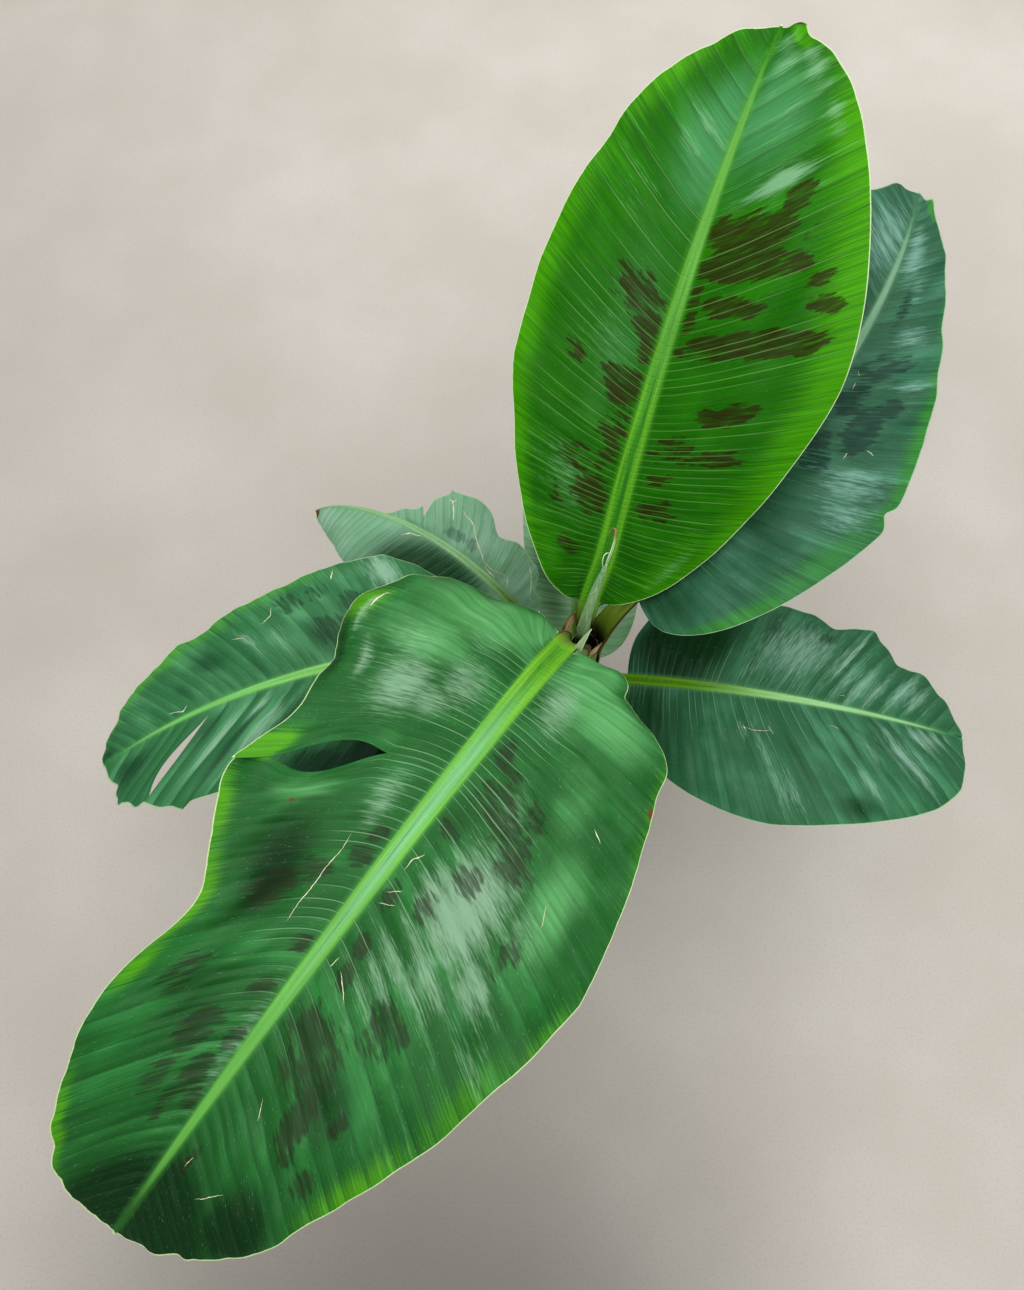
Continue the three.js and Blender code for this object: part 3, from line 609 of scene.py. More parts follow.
def veinEnd(leaf, half, ribPlace):
    # The margin place e of the side vein from rib place m, by halving: m = e - (w(e) / L) lean e
    low, high = ribPlace.copy(), np.ones_like(ribPlace)
    lean = half.get("lean", veinForm["lean"])
    for halving in range(40):
        middle = (low + high) / 2
        short = middle - halfWidth(half, middle) / leaf["length"] * lean * middle < ribPlace
        low, high = np.where(short, middle, low), np.where(short, high, middle)
    return (low + high) / 2


def ribHalfWidth(leaf, place):
    # The midrib narrows by 1 - 0.9 m^1.35
    return leaf["rib"][0] / 2 * (1 - 0.9 * place ** 1.35)


def ribTopFace(leaf, place, across):
    # The midrib's upper face stands proud of the blade, with round shoulders (1 - across^5), and has a
    # groove 0.14 of its width deep that dies away as e^(-m / 0.22)
    proud = mix(0.0016, 0.0003, place) * (1 - np.abs(across) ** 5)
    groove = leaf["rib"][0] * 0.14 * np.exp(-place / 0.22) * bell(across, 0, 0.42)
    return proud - groove


def sideVeins(leaf, half, place):
    # The number of side veins that leave the midrib before this place, as the sum of L / pitch, and the
    # pitch itself, which is uneven by about a fifth
    fine = np.linspace(0, 1, 2001)
    pitch = np.interp(fine, *zip(*half["veins"])) / 1000
    pitch = pitch * (1 + 0.35 * waves(fine * leaf["length"], leaf["seed"] + 5, (0.031, 0.083)))
    count = np.concatenate([[0], np.cumsum(np.diff(fine) * leaf["length"] / pitch[1:])])
    return np.interp(place, fine, count), np.interp(place, fine, pitch)


# The blade's mesh: rowStep along it, columns on each half and ribColumns over the midrib. The keel is the
# midrib's underside, and a half narrower than leastWidth is closed. A roll turns up over rollTurn of the
# reach, and the skin's pale edge starts lipEdge from a tear's lip.
bladeForm = {"thickness": 0.0007, "rowStep": 0.0018, "columns": 34, "slopeParts": 24, "leastWidth": 0.0002,
             "ribColumns": (-1, -0.93, -0.8, -0.56, -0.28, 0, 0.28, 0.56, 0.8, 0.93, 1),
             "keelAtTip": 0.12, "rollTurn": 0.12, "lipEdge": 0.0011}


def bladeRelief(leaf, m, reach, side, way, count, pitch):
    # Height out of the surface: the quilt -pitch cos(2 pi n) between the side veins n, broad pleats, a slow
    # swell, and ruffles that grow as reach^2.2 towards the margin
    run, seed = m * leaf["length"], leaf["seed"]
    quilt = -veinForm["quiltHeight"] * pitch * np.cos(2 * np.pi * count) * smooth(0, 0.06, reach)
    pleats = waves(count + 3 * side, seed + 40, (1.6, 2.6, 4.3)) * smooth(0, 0.4, reach) * (1 - 0.4 * reach)
    swell = waves(run + 0.5 * way, seed + 50, (0.075, 0.13)) * waves(way, seed + 51, (0.06, 0.11))
    ruffles = waves(run + 0.2 * side, seed + 60, (0.047, 0.071, 0.12))
    ruffles = ruffles * reach ** 2.2 * smooth(0, 0.08, m) * smooth(1, 0.93, m)
    return (quilt * np.exp(-reach / 0.7) + leaf["pleat"] * pleats
            + 2 * leaf["swell"] * swell * smooth(0, 0.3, reach) + leaf["ruffle"] * ruffles)


def bladeSurface(leaf, rib, m, reach, across, lip):
    # The blade's upper face. At rib place m and reach q it lies L (m + (e - m) (1 - h / w) q^bow) along the
    # midrib, its way out is h + (w - h) q times the mean of cos(slope), and its lift is (w - h) q times the
    # mean of sin(slope): e is the vein's end, w the half blade's width there and h half the rib. Relief is
    # added out of the surface.
    length, side = leaf["length"], np.where(across < 0, -1, 1)

    def perHalf(find):
        # find(half) of the half that each point is on
        return np.where(side > 0, find(leaf["left"]), find(leaf["right"]))

    places, where = np.unique(m, return_inverse=True)
    where = where.reshape(m.shape)
    ends = [veinEnd(leaf, leaf[name], places) for name, _ in halves]
    widths = [halfWidth(leaf[name], found) for (name, _), found in zip(halves, ends)]
    end, width = [np.where(side > 0, left[where], right[where]) for left, right in (ends, widths)]
    half = ribHalfWidth(leaf, m)
    beyond = np.clip(width - half, 0, None)
    bow = perHalf(lambda part: part.get("bow", veinForm["bow"]))
    distance = length * (m + (end - m) * beyond / np.maximum(width, 1e-9) * reach ** bow)

    cups = [perHalf(lambda part: part["cup"][at]) for at in (0, 1)]
    footFold = leaf["footFold"] * np.exp(-m / veinForm["foldSpread"])

    def slopeAt(share):
        # mix(the cup's two angles, share^cupBow) + footFold + each roll's angle x bell(m) x smooth(share)
        slope = mix(*cups, share ** veinForm["cupBow"]) + footFold
        for name, sign in halves:
            for at, spread, start, angle in leaf[name].get("rolls", ()):
                turned = bell(m, at, spread) * smooth(start, start + bladeForm["rollTurn"], share)
                slope = slope + (side == sign) * angle * turned
        return np.radians(slope)

    parts = bladeForm["slopeParts"]
    slopes = [slopeAt(reach * (part + 0.5) / parts) for part in range(parts)]
    way = side * beyond * reach
    out = way * sum(np.cos(slope) for slope in slopes) / parts + across * half
    lift = beyond * reach * sum(np.sin(slope) for slope in slopes) / parts
    lift = lift + np.where(reach > 0, 0, ribTopFace(leaf, m, across))

    veins = [sideVeins(leaf, leaf[name], m) for name, _ in halves]
    count, pitch = [np.where(side > 0, left, right) for left, right in zip(*veins)]
    relief = bladeRelief(leaf, m, reach, side, way, count, pitch)
    edge = (1 - reach) * beyond
    for name, sign in halves:
        onHalf = side == sign
        for at, spread, start, height in leaf[name].get("folds", ()):
            relief += onHalf * height * bell(m, at, spread) * smooth(start, 1, reach)
        for at, far, atSpread, farSpread, towardsTip, height in leaf[name].get("pulls", ()):
            pull = onHalf * bell(m, at, atSpread) * bell(reach, far, farSpread)
            distance, relief = distance + towardsTip * pull, relief + height * pull
        for tear in leaf[name].get("tears", ()):
            # The lips part by gap sin(pi t^bias)^1.15, where t runs from 0 at start to 1 at close
            beside = onHalf & (reach > tear["start"])
            opened = np.clip((reach - tear["start"]) / (tear["close"] - tear["start"]), 0, 1)
            gape = np.sin(np.pi * opened ** tear["bias"]) ** 1.15
            lapped = smooth(tear["close"], 1, reach) if tear["overlap"] else 0
            away = np.abs(m - tear["place"]) * length
            onLip = (lip != 0) & (away < 1e-9)
            towards = np.where(onLip, lip, np.sign(m - tear["place"])) * beside
            near = smooth(tear["decay"], 0, away)
            part = np.where(towards > 0, 1 - tear["upperPart"], tear["upperPart"])
            distance = distance + towards * near * (part * tear["gap"] * gape - tear["overlap"] / 2 * lapped)
            dip = np.where(towards > 0, tear["lift"] * gape, 0)
            relief = relief - near * (dip + towards * tear["flap"] * lapped)
            edge = np.where(beside, np.minimum(edge, away + bladeForm["lipEdge"]), edge)

    point, along, left, up = rib(distance)
    tilt = (slopeAt(reach) * (reach > 0))[..., None]
    outward = up * np.cos(tilt) - side[..., None] * left * np.sin(tilt)
    top = point + left * out[..., None] + up * lift[..., None] + outward * relief[..., None]
    return {"top": top, "outward": outward, "side": side, "half": half, "beyond": beyond,
            "count": count + (side < 0) * 200, "pitch": pitch, "edge": edge}


def rowPlaces(leaf):
    # Rib places of the blade's rows: the steps are even in the length of a path that follows the midrib and,
    # in part, the margins as they spread and close
    fine = np.linspace(0, 1, 4001)
    widths = [halfWidth(leaf[name], veinEnd(leaf, leaf[name], fine)) for name, _ in halves]
    spreading = sum(np.diff(width) ** 2 for width in widths)
    steps = np.sqrt((leaf["length"] * np.diff(fine)) ** 2 + 0.12 * spreading)
    path = np.concatenate([[0], np.cumsum(steps)])
    return np.interp(np.linspace(0, path[-1], int(path[-1] / bladeForm["rowStep"])), path, fine)


leafMarks = ("blotch", "yellow", "cool", "deep", "bloom", "dry")


def markField(leaf, mark, m, reach, side):
    # The highest of strength exp(-d^2) for each soft mark, or exp(-d^4) for each blotch, which keeps its
    # middle full: d^2 = (dm / spread)^2 + (dreach / spread)^2
    power, field = (2 if mark == "blotch" else 1), np.zeros_like(m)
    for name, sign in halves:
        for at, far, atSpread, farSpread, strength, *slant in leaf[name].get(mark, ()):
            away = m - at - sum(slant) * (reach - far)
            square = (away / atSpread) ** 2 + ((reach - far) / farSpread) ** 2
            laid = strength * np.exp(-(square ** power))
            field = np.where(side == sign, np.maximum(field, laid), field)
    return field


def makeBlade(leaf, rib, material, slot):
    # The blade is one closed shell: the upper face, the same face moved inwards by the blade's thickness and
    # the midrib's keel, and a wall round the rim. A tear doubles its row, one copy for each lip.
    place = rowPlaces(leaf)
    tears = [(tear, sign) for name, sign in halves for tear in leaf[name].get("tears", ())]
    lip, tornRows = np.zeros(len(place)), []
    for tear, sign in tears:
        row = np.abs(place - tear["place"]).argmin()
        tear["place"] = place[row]
        place, lip = np.insert(place, row, place[row]), np.insert(lip, row, 0)
        lip[row:row + 2] = (-1, 1)
        tornRows.append(row)

    even = np.linspace(0, 1, bladeForm["columns"] + 1)[1:]
    lamina = 0.6 * even + 0.4 * (1 - np.cos(np.pi * even)) / 2        # closer together at rib and margin
    onRib = np.array(bladeForm["ribColumns"], float)
    reach = np.concatenate([lamina[::-1], 0 * onRib, lamina])[None] + 0 * place[:, None]
    across = np.concatenate([-1 + 0 * lamina, onRib, 1 + 0 * lamina])[None] + 0 * reach
    ribStart, ribEnd = len(lamina), len(lamina) + len(onRib) - 1
    m = place[:, None] + 0 * reach
    face = bladeSurface(leaf, rib, m, reach, across, lip[:, None] + 0 * reach)
    side, half, beyond = face["side"], face["half"], face["beyond"]
    square = petioleForm["squareness"]
    keel = leaf["rib"][1] * mix(1, bladeForm["keelAtTip"], m ** 0.8)
    keel = keel * np.clip(1 - np.abs(across) ** square, 0, 1) ** (1 / square)
    deep = bladeForm["thickness"] + np.where(reach > 0, 0, keel + ribTopFace(leaf, m, across))
    bottom = face["top"] - face["outward"] * deep[..., None]

    # Points that fall together share an index: a closed half with its rib's edge, and the lips of a tear
    # where it is shut
    index = np.arange(m.size).reshape(m.shape)
    for columns, edgeColumn in ((slice(0, ribStart), ribStart), (slice(ribEnd + 1, None), ribEnd)):
        closed = beyond[:, edgeColumn] < bladeForm["leastWidth"]
        index[closed, columns] = index[closed, edgeColumn][:, None]
    for (tear, sign), row in zip(tears, tornRows):
        joined = (side[0] != sign) | (reach[row] <= tear["start"])
        index[row + 1, joined] = index[row, joined]
    quads = np.stack([index[:-1, :-1], index[1:, :-1], index[1:, 1:], index[:-1, 1:]], -1)
    quads = np.delete(quads, tornRows, axis=0).reshape(-1, 4)
    start, stop = quads.ravel(), np.roll(quads, -1, axis=1).ravel()
    start, stop = start[start != stop], stop[start != stop]
    rim = ~np.isin(start * m.size + stop, stop * m.size + start)        # edges with a face on one side only
    walls = np.stack([stop[rim], start[rim], start[rim] + m.size, stop[rim] + m.size], -1)
    allQuads = np.concatenate([quads, quads[:, ::-1] + m.size, walls])

    # pitch, edge and ribGap are in millimetres, the grain in metres
    toRib = np.where(reach > 0, beyond * reach, (np.abs(across) - 1) * half)
    fields = {"grain": np.stack([m * leaf["length"], side * (half + beyond * reach), 0 * m], -1),
              "reach": reach, "place": m, "veinCount": face["count"], "pitch": face["pitch"] * 1000,
              "edge": face["edge"] * 1000, "ribGap": toRib * 1000, "ribAcross": across}
    fields.update({mark: markField(leaf, mark, m, reach, side) for mark in leafMarks})
    for name, values in fields.items():
        fields[name] = np.concatenate([values.reshape(m.size, *values.shape[2:])] * 2)
    fields["under"] = np.repeat([0.0, 1.0], m.size)
    points = np.concatenate([face["top"].reshape(-1, 3), bottom.reshape(-1, 3)])
    node = leaf["name"] + "_blade"
    return makePiece(node + "_skin", points, allQuads, fields, material, slot, [node])


# A scar's section, from its left to its right and back underneath: shares of its half width, and heights.
# shownWidth is how much of the width that its entry gives is drawn.
scarForm = {"across": (-1, 0, 1, 1, 0, -1), "step": 0.002, "wobble": 0.0006, "shownWidth": 1 / 1.45,
            "heights": (0.00003, 0.00015, 0.00003, -0.0004, -0.0004, -0.0004)}


def makeScars(leaf, rib, material, slot):
    # Each scar is a thin closed ribbon along its line on the blade: its width swells as sin^0.5 from end to
    # end and is uneven by a quarter, and it stands 0.15 mm above the skin
    shells, quadSets, grains, offset = [], [], [], 0
    random = np.random.default_rng(leaf["seed"] + 90)
    scars = [(name, sign, scar) for name, sign in halves for scar in leaf[name].get("scars", ())]
    for number, (name, sign, (widthMm, *line)) in enumerate(scars):
        line = np.array(line)
        sizes = np.array([leaf["length"], max(float(halfWidth(leaf[name], line[0, 0])), 0.03)])
        steps = np.concatenate([[0], np.cumsum(np.hypot(*(np.diff(line, axis=0) * sizes).T))])
        path = np.linspace(0, steps[-1], max(6, int(steps[-1] / scarForm["step"])))
        centre = np.stack([np.interp(path, steps, line[:, axis]) * sizes[axis] for axis in (0, 1)], -1)
        along = np.gradient(centre, axis=0)
        sideways = np.stack([-along[:, 1], along[:, 0]], -1) / np.hypot(*along.T)[:, None]
        wobble = waves(path, leaf["seed"] + number, (0.006, 0.013, 0.03)) * scarForm["wobble"]
        centre = centre + sideways * wobble[:, None]
        share = np.linspace(0, 1, len(path))
        uneven = 1 + 0.25 * np.interp(share, np.linspace(0, 1, 12), random.uniform(-1, 1, 12))
        swelling = np.sin(np.pi * np.clip(share, 0.02, 0.98)) ** 0.5
        spread = widthMm / 2000 * scarForm["shownWidth"] * swelling * uneven
        ring = np.array(scarForm["across"]) * sign
        offLine = sideways[:, None] * (spread[:, None] * ring)[..., None]
        spot = (centre[:, None] + offLine) / sizes
        m, reach = np.clip(spot[..., 0], 0, 1), np.clip(spot[..., 1], 0.001, 0.999)
        face = bladeSurface(leaf, rib, m, reach, sign + 0 * m, 0 * m)
        rings = face["top"] + face["outward"] * np.array(scarForm["heights"])[None, :, None]
        grain = np.stack([path[:, None] + 0 * m, ring * spread[:, None], 0 * m + number], -1)
        points, quads, fields = skinRings(rings, {"grain": grain})
        shells.append(points)
        quadSets.append(quads + offset)
        grains.append(fields["grain"])
        offset += len(points)
    if shells:
        makePiece(leaf["name"] + "_dry_scars", np.concatenate(shells), np.concatenate(quadSets),
                  {"grain": np.concatenate(grains)}, material, slot)


def scarSkin():
    # Healed scratches: dry corky lines, cream in the middle and tan in places, dull beside the waxy leaf
    material, tree = newMaterial("dry_corky_scar")
    grain = addNode(tree, "Attribute", attribute_name="grain").outputs["Vector"]
    fleck = stretchedNoise(tree, grain, (1000 / 6, 1000 / 2, 3.7))
    colour = layered(tree, "#c8bf98", [(fleck.ramp(0.46, 0.62), "#ebe8d4"),
                                       (fleck.ramp(0.38, 0.28), "#8a6238")])
    finishMaterial(tree, colour, 0.75, fleck, 0.6, 0.3)
    return material


def leafSkin(name, look):
    # Living banana leaf under a thin waxy cuticle: a satin green skin with fine straight grain along the
    # side veins. The eye gets thin pale veins with painted shade in a dark line beside each, strips that each
    # have their own tone and painted shade across them, dark maroon blotches of juvenile colour that the veins
    # cross, darker green that is partly painted shade, a greyish wax haze and a blue-green tint that are both
    # partly painted sheen, a midrib with painted shade and painted reflection down its middle, and a hairline
    # pale margin.
    material, tree = newMaterial(name)
    names = ("reach", "place", "veinCount", "pitch", "edge", "ribGap", "ribAcross", "under") + leafMarks
    field, grain = readFields(tree, names)
    place, count = field["place"], field["veinCount"]
    # Each noise's size in millimetres along the midrib and along the veins, and its detail
    sizes = {"streak": (1.5, 60, 3), "thread": (0.7, 25, 2), "cloud": (38, 60, 3), "fleck": (3.6, 22, 6),
             "haze": (1.7, 13, 6), "speck": (1.0, 4, 2), "grit": (3, 3, 3)}
    noise = {key: stretchedNoise(tree, grain, (1000 / alongMm, 1000 / acrossMm, 1), detail)
             for key, (alongMm, acrossMm, detail) in sizes.items()}
    ribPlace = addNode(tree, "CombineXYZ", {"X": place, "Y": field["ribAcross"]}).outputs[0]
    noise["fibre"] = stretchedNoise(tree, ribPlace, (9, 6, 1))
    swing = {key: amount - 0.5 for key, amount in noise.items()}

    # Each strip between two side veins has its own tone and flecks; each vein its own strength and reach
    strip = floor(count)
    lots = [addNode(tree, "TexWhiteNoise", {"W": number}, noise_dimensions="1D")
            for number in (strip, round(count) + 0.37)]
    stripTone, veinLot = [Amount(lot.outputs["Value"]) for lot in lots]
    alongVein = addNode(tree, "SeparateXYZ", {0: grain}).outputs["Y"]
    stripPlace = addNode(tree, "CombineXYZ", {"X": strip, "Y": alongVein}).outputs[0]
    stripSwing = stretchedNoise(tree, stripPlace, (7.3, 1000 / 20, 1)) - 0.5
    nearest = count.distanceToWhole() * field["pitch"]        # millimetres from the nearest side vein
    wide = field["pitch"].ramp(9, 22)

    # Masks, each from 0 to 1
    veinFade = ((veinLot + 0.5) * look["veinReach"] - field["reach"]).ramp(0, 0.35)
    veinFade = veinFade * place.ramp(*look["veinPlace"])
    # Darker green, partly the leaf's own colour and partly painted shade where it lies in shadow, as beside the tears
    # and on shaded halves
    deep = (field["deep"] + swing["streak"] * 0.7).ramp(0.2, 1.0)
    veinShow = veinFade * (veinLot * 0.6 + 0.4) * look["veinShow"]
    veinLine = (nearest + swing["thread"] * 0.5).ramp(0.8, 0.2) * veinShow * (1 - deep * 0.7)
    # Painted shade: a dark line beside each vein, where its valley lies
    shadeLine = (nearest + swing["streak"] * 0.8).ramp(1.7, 0.6, look["shadeShow"]) * (wide * 0.6 + 0.4)
    ragged = field["blotch"] + swing["fleck"] * 2.3 + stripSwing * 1.5 + swing["streak"] * 1.2
    blotch = ragged.ramp(*look["blotchEdge"], look["blotchShow"]) * field["blotch"].ramp(0.02, 0.2)
    blotch = blotch * noise["thread"].ramp(0.1, 0.5) * noise["fleck"].between(0.36, 0.56, 0.62, 1)
    lightPatch = (noise["cloud"] * 0.8 + (stripTone - 0.3) * (wide * 0.2 + 0.06)).ramp(0.36, 0.70)
    yellow = (field["yellow"] + swing["streak"] * 0.9).ramp(0.15, 1.0)
    # A blue-green tint, partly the leaf's own colour and partly broad, smooth painted sheen
    cool = (field["cool"] + swing["cloud"] * 0.6).ramp(0.2, 1.0)
    speck = noise["speck"].ramp(0.64, 0.76, look["speckShow"])
    # Pale wax haze with painted sheen in it, the sheen lighter on one side of each pleat's ridge
    crestSheen = ((count + look["crestSheenShift"]).distanceToWhole() - 0.25) * wide * 1.1
    waxAndSheenHaze = field["bloom"] + swing["haze"] * 1.35 + swing["streak"] * 0.8 + crestSheen
    bloom = waxAndSheenHaze.ramp(0.2, 1.2, look["bloomShow"])
    dry = (field["dry"] + swing["grit"] * 0.7).ramp(0.5, 0.62)
    margin = (field["edge"] + swing["grit"] * 0.6).ramp(1.05, 0.55, look["marginShow"])
    rib = (field["ribGap"] + swing["streak"] * 1.2).ramp(1.4, -2.2) * place.ramp(0.975, 0.84)
    ribGlow = (field["ribGap"] + swing["streak"] * 2.5).ramp(5, 0, look["ribGlow"])
    # Painted light and shade down the midrib's middle: a pale painted reflection in the channel on some leaves,
    # painted shade on others and in the groove at the foot
    ribChannelShading = (abs(field["ribAcross"]) + swing["fibre"] * 0.8).ramp(0.75, 0.05)

    # Light and dark: fine streaks, minor veins six to a strip, and painted shade across each strip, lighter on one
    # side as if it were tilted to the light
    streakLight = noise["streak"].between(0.28, 0.72, 1 - look["streakShow"], 1 + look["streakShow"])
    minorVein = (count * 6).distanceToWhole() * -0.16 + 1.05
    stripPaintedShade = (0.5 - (count - strip)) * (wide * 1.6 + 1) * (2 * look["stripShadeTilt"]) + 1
    fibreLight = noise["fibre"].between(0.3, 0.7, 0.8, 1.15)

    green = layered(tree, look["deep"], [
        (lightPatch, look["light"]), (cool, look["coolTone"]), (yellow, look["yellowTone"]),
        (deep, look["deepAndShadeTone"])])
    # light carries the painted shade across the strips along with the streaks and minor veins
    light = streakLight * minorVein * stripPaintedShade
    green = addNode(tree, "HueSaturation", {"Value": light, "Color": green}).outputs[0]
    upper = layered(tree, green, [
        (shadeLine, look["shade"]), (bloom, look["bloomTone"]), (speck, look["bloomTone"]),
        (blotch, look["blotchTone"]), (veinLine, look["vein"]), (ribGlow, look["glow"]),
        (dry, look["dryTone"]), (margin, look["margin"])])
    lower = layered(tree, look["underside"], [
        (lightPatch, look["light"]), (nearest.ramp(1.2, 0.4, 0.5), look["vein"]),
        (blotch * 0.4, look["blotchTone"]), (dry, look["dryTone"])])
    foot = layered(tree, look["ribFoot"], [(ribChannelShading, look["ribGrooveShading"])])
    stalk = layered(tree, look["rib"], [
        (ribChannelShading, look["ribChannelShading"]), (place.ramp(0.38, 0.7), look["ribTip"]),
        (place.ramp(*look["ribFootPlace"]), foot)])
    stalk = addNode(tree, "HueSaturation", {"Value": fibreLight, "Color": stalk}).outputs[0]
    colour = layered(tree, upper, [(field["under"], lower), (rib, stalk)])
    rough = noise["streak"].between(0.25, 0.75, look["rough"] - 0.05, look["rough"] + 0.08) + dry * 0.25
    height = noise["streak"] * 0.7 + noise["thread"] * 0.3 + nearest.ramp(0, 1.5) * veinFade * 0.8
    sockets = {"IOR": 1.45, "Specular IOR Level": look["gloss"]}
    finishMaterial(tree, colour, rough, height, look["bump"], 0.5, sockets, through=0.12)
    return material


firstLook = {
    "deep": "#246c05", "light": "#328008", "yellowTone": "#4c9c03", "coolTone": "#4b8f56",
    "deepAndShadeTone": "#1f5a1a", "vein": "#8dbb6a", "veinReach": 0.75, "veinShow": 0.42,
    "veinPlace": (1.2, 0.7), "shade": "#2b5a2a", "shadeShow": 0.45, "stripShadeTilt": 0.06,
    "speckShow": 0.22, "streakShow": 0.13, "crestSheenShift": 0.3, "blotchTone": "#34240e",
    "blotchShow": 0.84, "blotchEdge": (0.40, 0.56), "bloomTone": "#8dbb92", "bloomShow": 0.76,
    "dryTone": "#6e4a24", "margin": "#d6e4b4", "marginShow": 0.9, "rib": "#66a838",
    "ribChannelShading": "#589f38", "ribTip": "#6cab4c", "ribFoot": "#6db02f", "ribGrooveShading": "#3f8c26",
    "ribFootPlace": (0.5, 0.3), "glow": "#4f9a26", "ribGlow": 0.35, "underside": "#5c9150",
    "rough": 0.34, "gloss": 0.12, "bump": 0.6,
}
secondLook = {
    **firstLook, "gloss": 0.2, "streakShow": 0.14, "speckShow": 0.3, "shadeShow": 0.38,
    "deep": "#27642c", "light": "#398443", "yellowTone": "#559c1a", "coolTone": "#62a565",
    "deepAndShadeTone": "#113814", "vein": "#9ac096", "veinReach": 0.4, "veinShow": 0.6,
    "veinPlace": (0.85, 0.4), "shade": "#1f5230", "blotchTone": "#2b3020", "blotchShow": 0.74,
    "blotchEdge": (0.30, 0.74), "bloomTone": "#a3c4a6", "bloomShow": 0.62, "margin": "#cfe0a8",
    "rib": "#74b850", "ribChannelShading": "#84c286", "ribTip": "#6bae50", "ribFoot": "#7cb838",
    "ribGrooveShading": "#62a834", "ribFootPlace": (0.28, 0.08), "glow": "#4f9440", "ribGlow": 0.3,
}
thirdLook = {
    **secondLook, "deep": "#37674b", "light": "#50886b", "yellowTone": "#3f8a3a", "coolTone": "#6f9e8a",
    "deepAndShadeTone": "#1f4a2c", "vein": "#8cb49c", "veinShow": 0.35, "shade": "#27503a",
    "blotchTone": "#1f3a34", "blotchShow": 0.8, "bloomTone": "#93bcae", "bloomShow": 0.75,
    "margin": "#b4cda4", "marginShow": 0.7, "rib": "#90b999", "ribChannelShading": "#98c0a4",
    "ribTip": "#84ae8c", "ribFoot": "#7d9a50", "ribGrooveShading": "#8fae6a", "glow": "#5c8a66",
    "underside": "#4f7a5c", "rough": 0.4,
}
fourthLook = {
    **thirdLook, "blotchShow": 0.66, "deep": "#3a7549", "light": "#5d9c6d", "yellowTone": "#569e40",
    "deepAndShadeTone": "#1f4f30", "vein": "#8ab494", "shade": "#285c38", "blotchTone": "#1c3524",
    "bloomTone": "#a0c4aa", "margin": "#c6dcae", "rib": "#98d87c", "ribChannelShading": "#84c868",
    "ribTip": "#7cc06a", "ribFoot": "#8cb850", "ribGrooveShading": "#6c9c44", "glow": "#5a9c58",
    "underside": "#4f8258", "rough": 0.38,
}
# fifthLook's rib tones are pale, partly as painted light on a rib that lies in the shade of the leaves above
fifthLook = {
    **thirdLook, "deep": "#3a704c", "light": "#52906a", "yellowTone": "#4b8c42", "deepAndShadeTone": "#16401e",
    "vein": "#9cc2a8", "veinShow": 0.5, "veinReach": 0.45, "shade": "#2a5a40", "blotchTone": "#1c3a2a",
    "bloomTone": "#a0c4b0", "rib": "#b8e89c", "ribChannelShading": "#b0e6a4", "ribTip": "#a4d698",
    "ribFoot": "#74a824", "ribGrooveShading": "#5f9414", "ribFootPlace": (0.55, 0.15), "glow": "#68a868",
    "marginShow": 0.8, "margin": "#b8d6a0", "rough": 0.37,
}
# The sixth and seventh leaves are painted pale: the sixth partly for its real wax haze and partly as painted light,
# the seventh's greens almost wholly painted light on a leaf that sits in the shade of those above
sixthLook = {
    **thirdLook, "streakShow": 0.1, "deep": "#80ae8b", "light": "#a0c2aa", "yellowTone": "#5c8c3c",
    "deepAndShadeTone": "#204a2a", "vein": "#a4c4a8", "shade": "#3f7048", "blotchTone": "#3f6a52",
    "blotchShow": 0.6, "bloomTone": "#b4d0ba", "rib": "#9cc490", "ribChannelShading": "#8cb884",
    "ribTip": "#8cb884", "ribFoot": "#7a9f4c", "ribGrooveShading": "#5f8538", "glow": "#7aa478", "rough": 0.44,
}
seventhLook = {**sixthLook, "deep": "#a2d4a4", "light": "#c2e6c0", "rib": "#a0d08c", "ribChannelShading": "#92c482"}
leafLooks = {
    "leaf_1": ("waxy_newest_leaf_skin", firstLook, "young_leaf"),
    "leaf_2": ("waxy_broad_leaf_skin", secondLook, "young_leaf"),
    "leaf_3": ("blue_green_leaf_skin", thirdLook, "mature_leaf"),
    "leaf_4": ("satin_side_leaf_skin", fourthLook, "mature_leaf"),
    "leaf_5": ("hazy_lower_leaf_skin", fifthLook, "mature_leaf"),
    "leaf_6": ("old_leaf_skin", sixthLook, "mature_leaf"),
    "leaf_7": ("shaded_leaf_skin", seventhLook, "mature_leaf"),
}

ribs = {leaf["name"]: growRib(leaf) for leaf in leaves}
scarMaterial = scarSkin()
for leaf in leaves:
    materialName, look, slotName = leafLooks[leaf["name"]]
    makeBlade(leaf, ribs[leaf["name"]], leafSkin(materialName, look), slotName)
    makeScars(leaf, ribs[leaf["name"]], scarMaterial, slotName)
print("blades made:", len(leaves))


def stemRadius(height):
    # An even taper from the foot to the top, plus a flare that dies away over flareHeight as a square
    rise = height - stem["foot"]
    flare = (stem["footRadius"] - stem["lowerRadius"]) * np.clip(1 - rise / stem["flareHeight"], 0, 1) ** 2
    return mix(stem["lowerRadius"], stem["topRadius"], rise / (stem["top"] - stem["foot"])) + flare


# The mesh of a stalk: points over its upper face and round its underside, and the distance between rings on
# the sheath and on the petiole, with finer rings from overlap below the place where the two meet. bladeGap
# is what it leaves free before the blade. Going down, the sheath's thickness goes from the second of
# sheathThick to the first over thinning.
stalkForm = {"upperPoints": 25, "lowerPoints": 31, "sheathStep": 0.004, "petioleStep": 0.0025,
             "overlap": 0.06, "bladeGap": 0.0002, "sheathThick": (0.0008, 0.0035), "thinning": 0.05,
             "edgeThick": 0.0003}


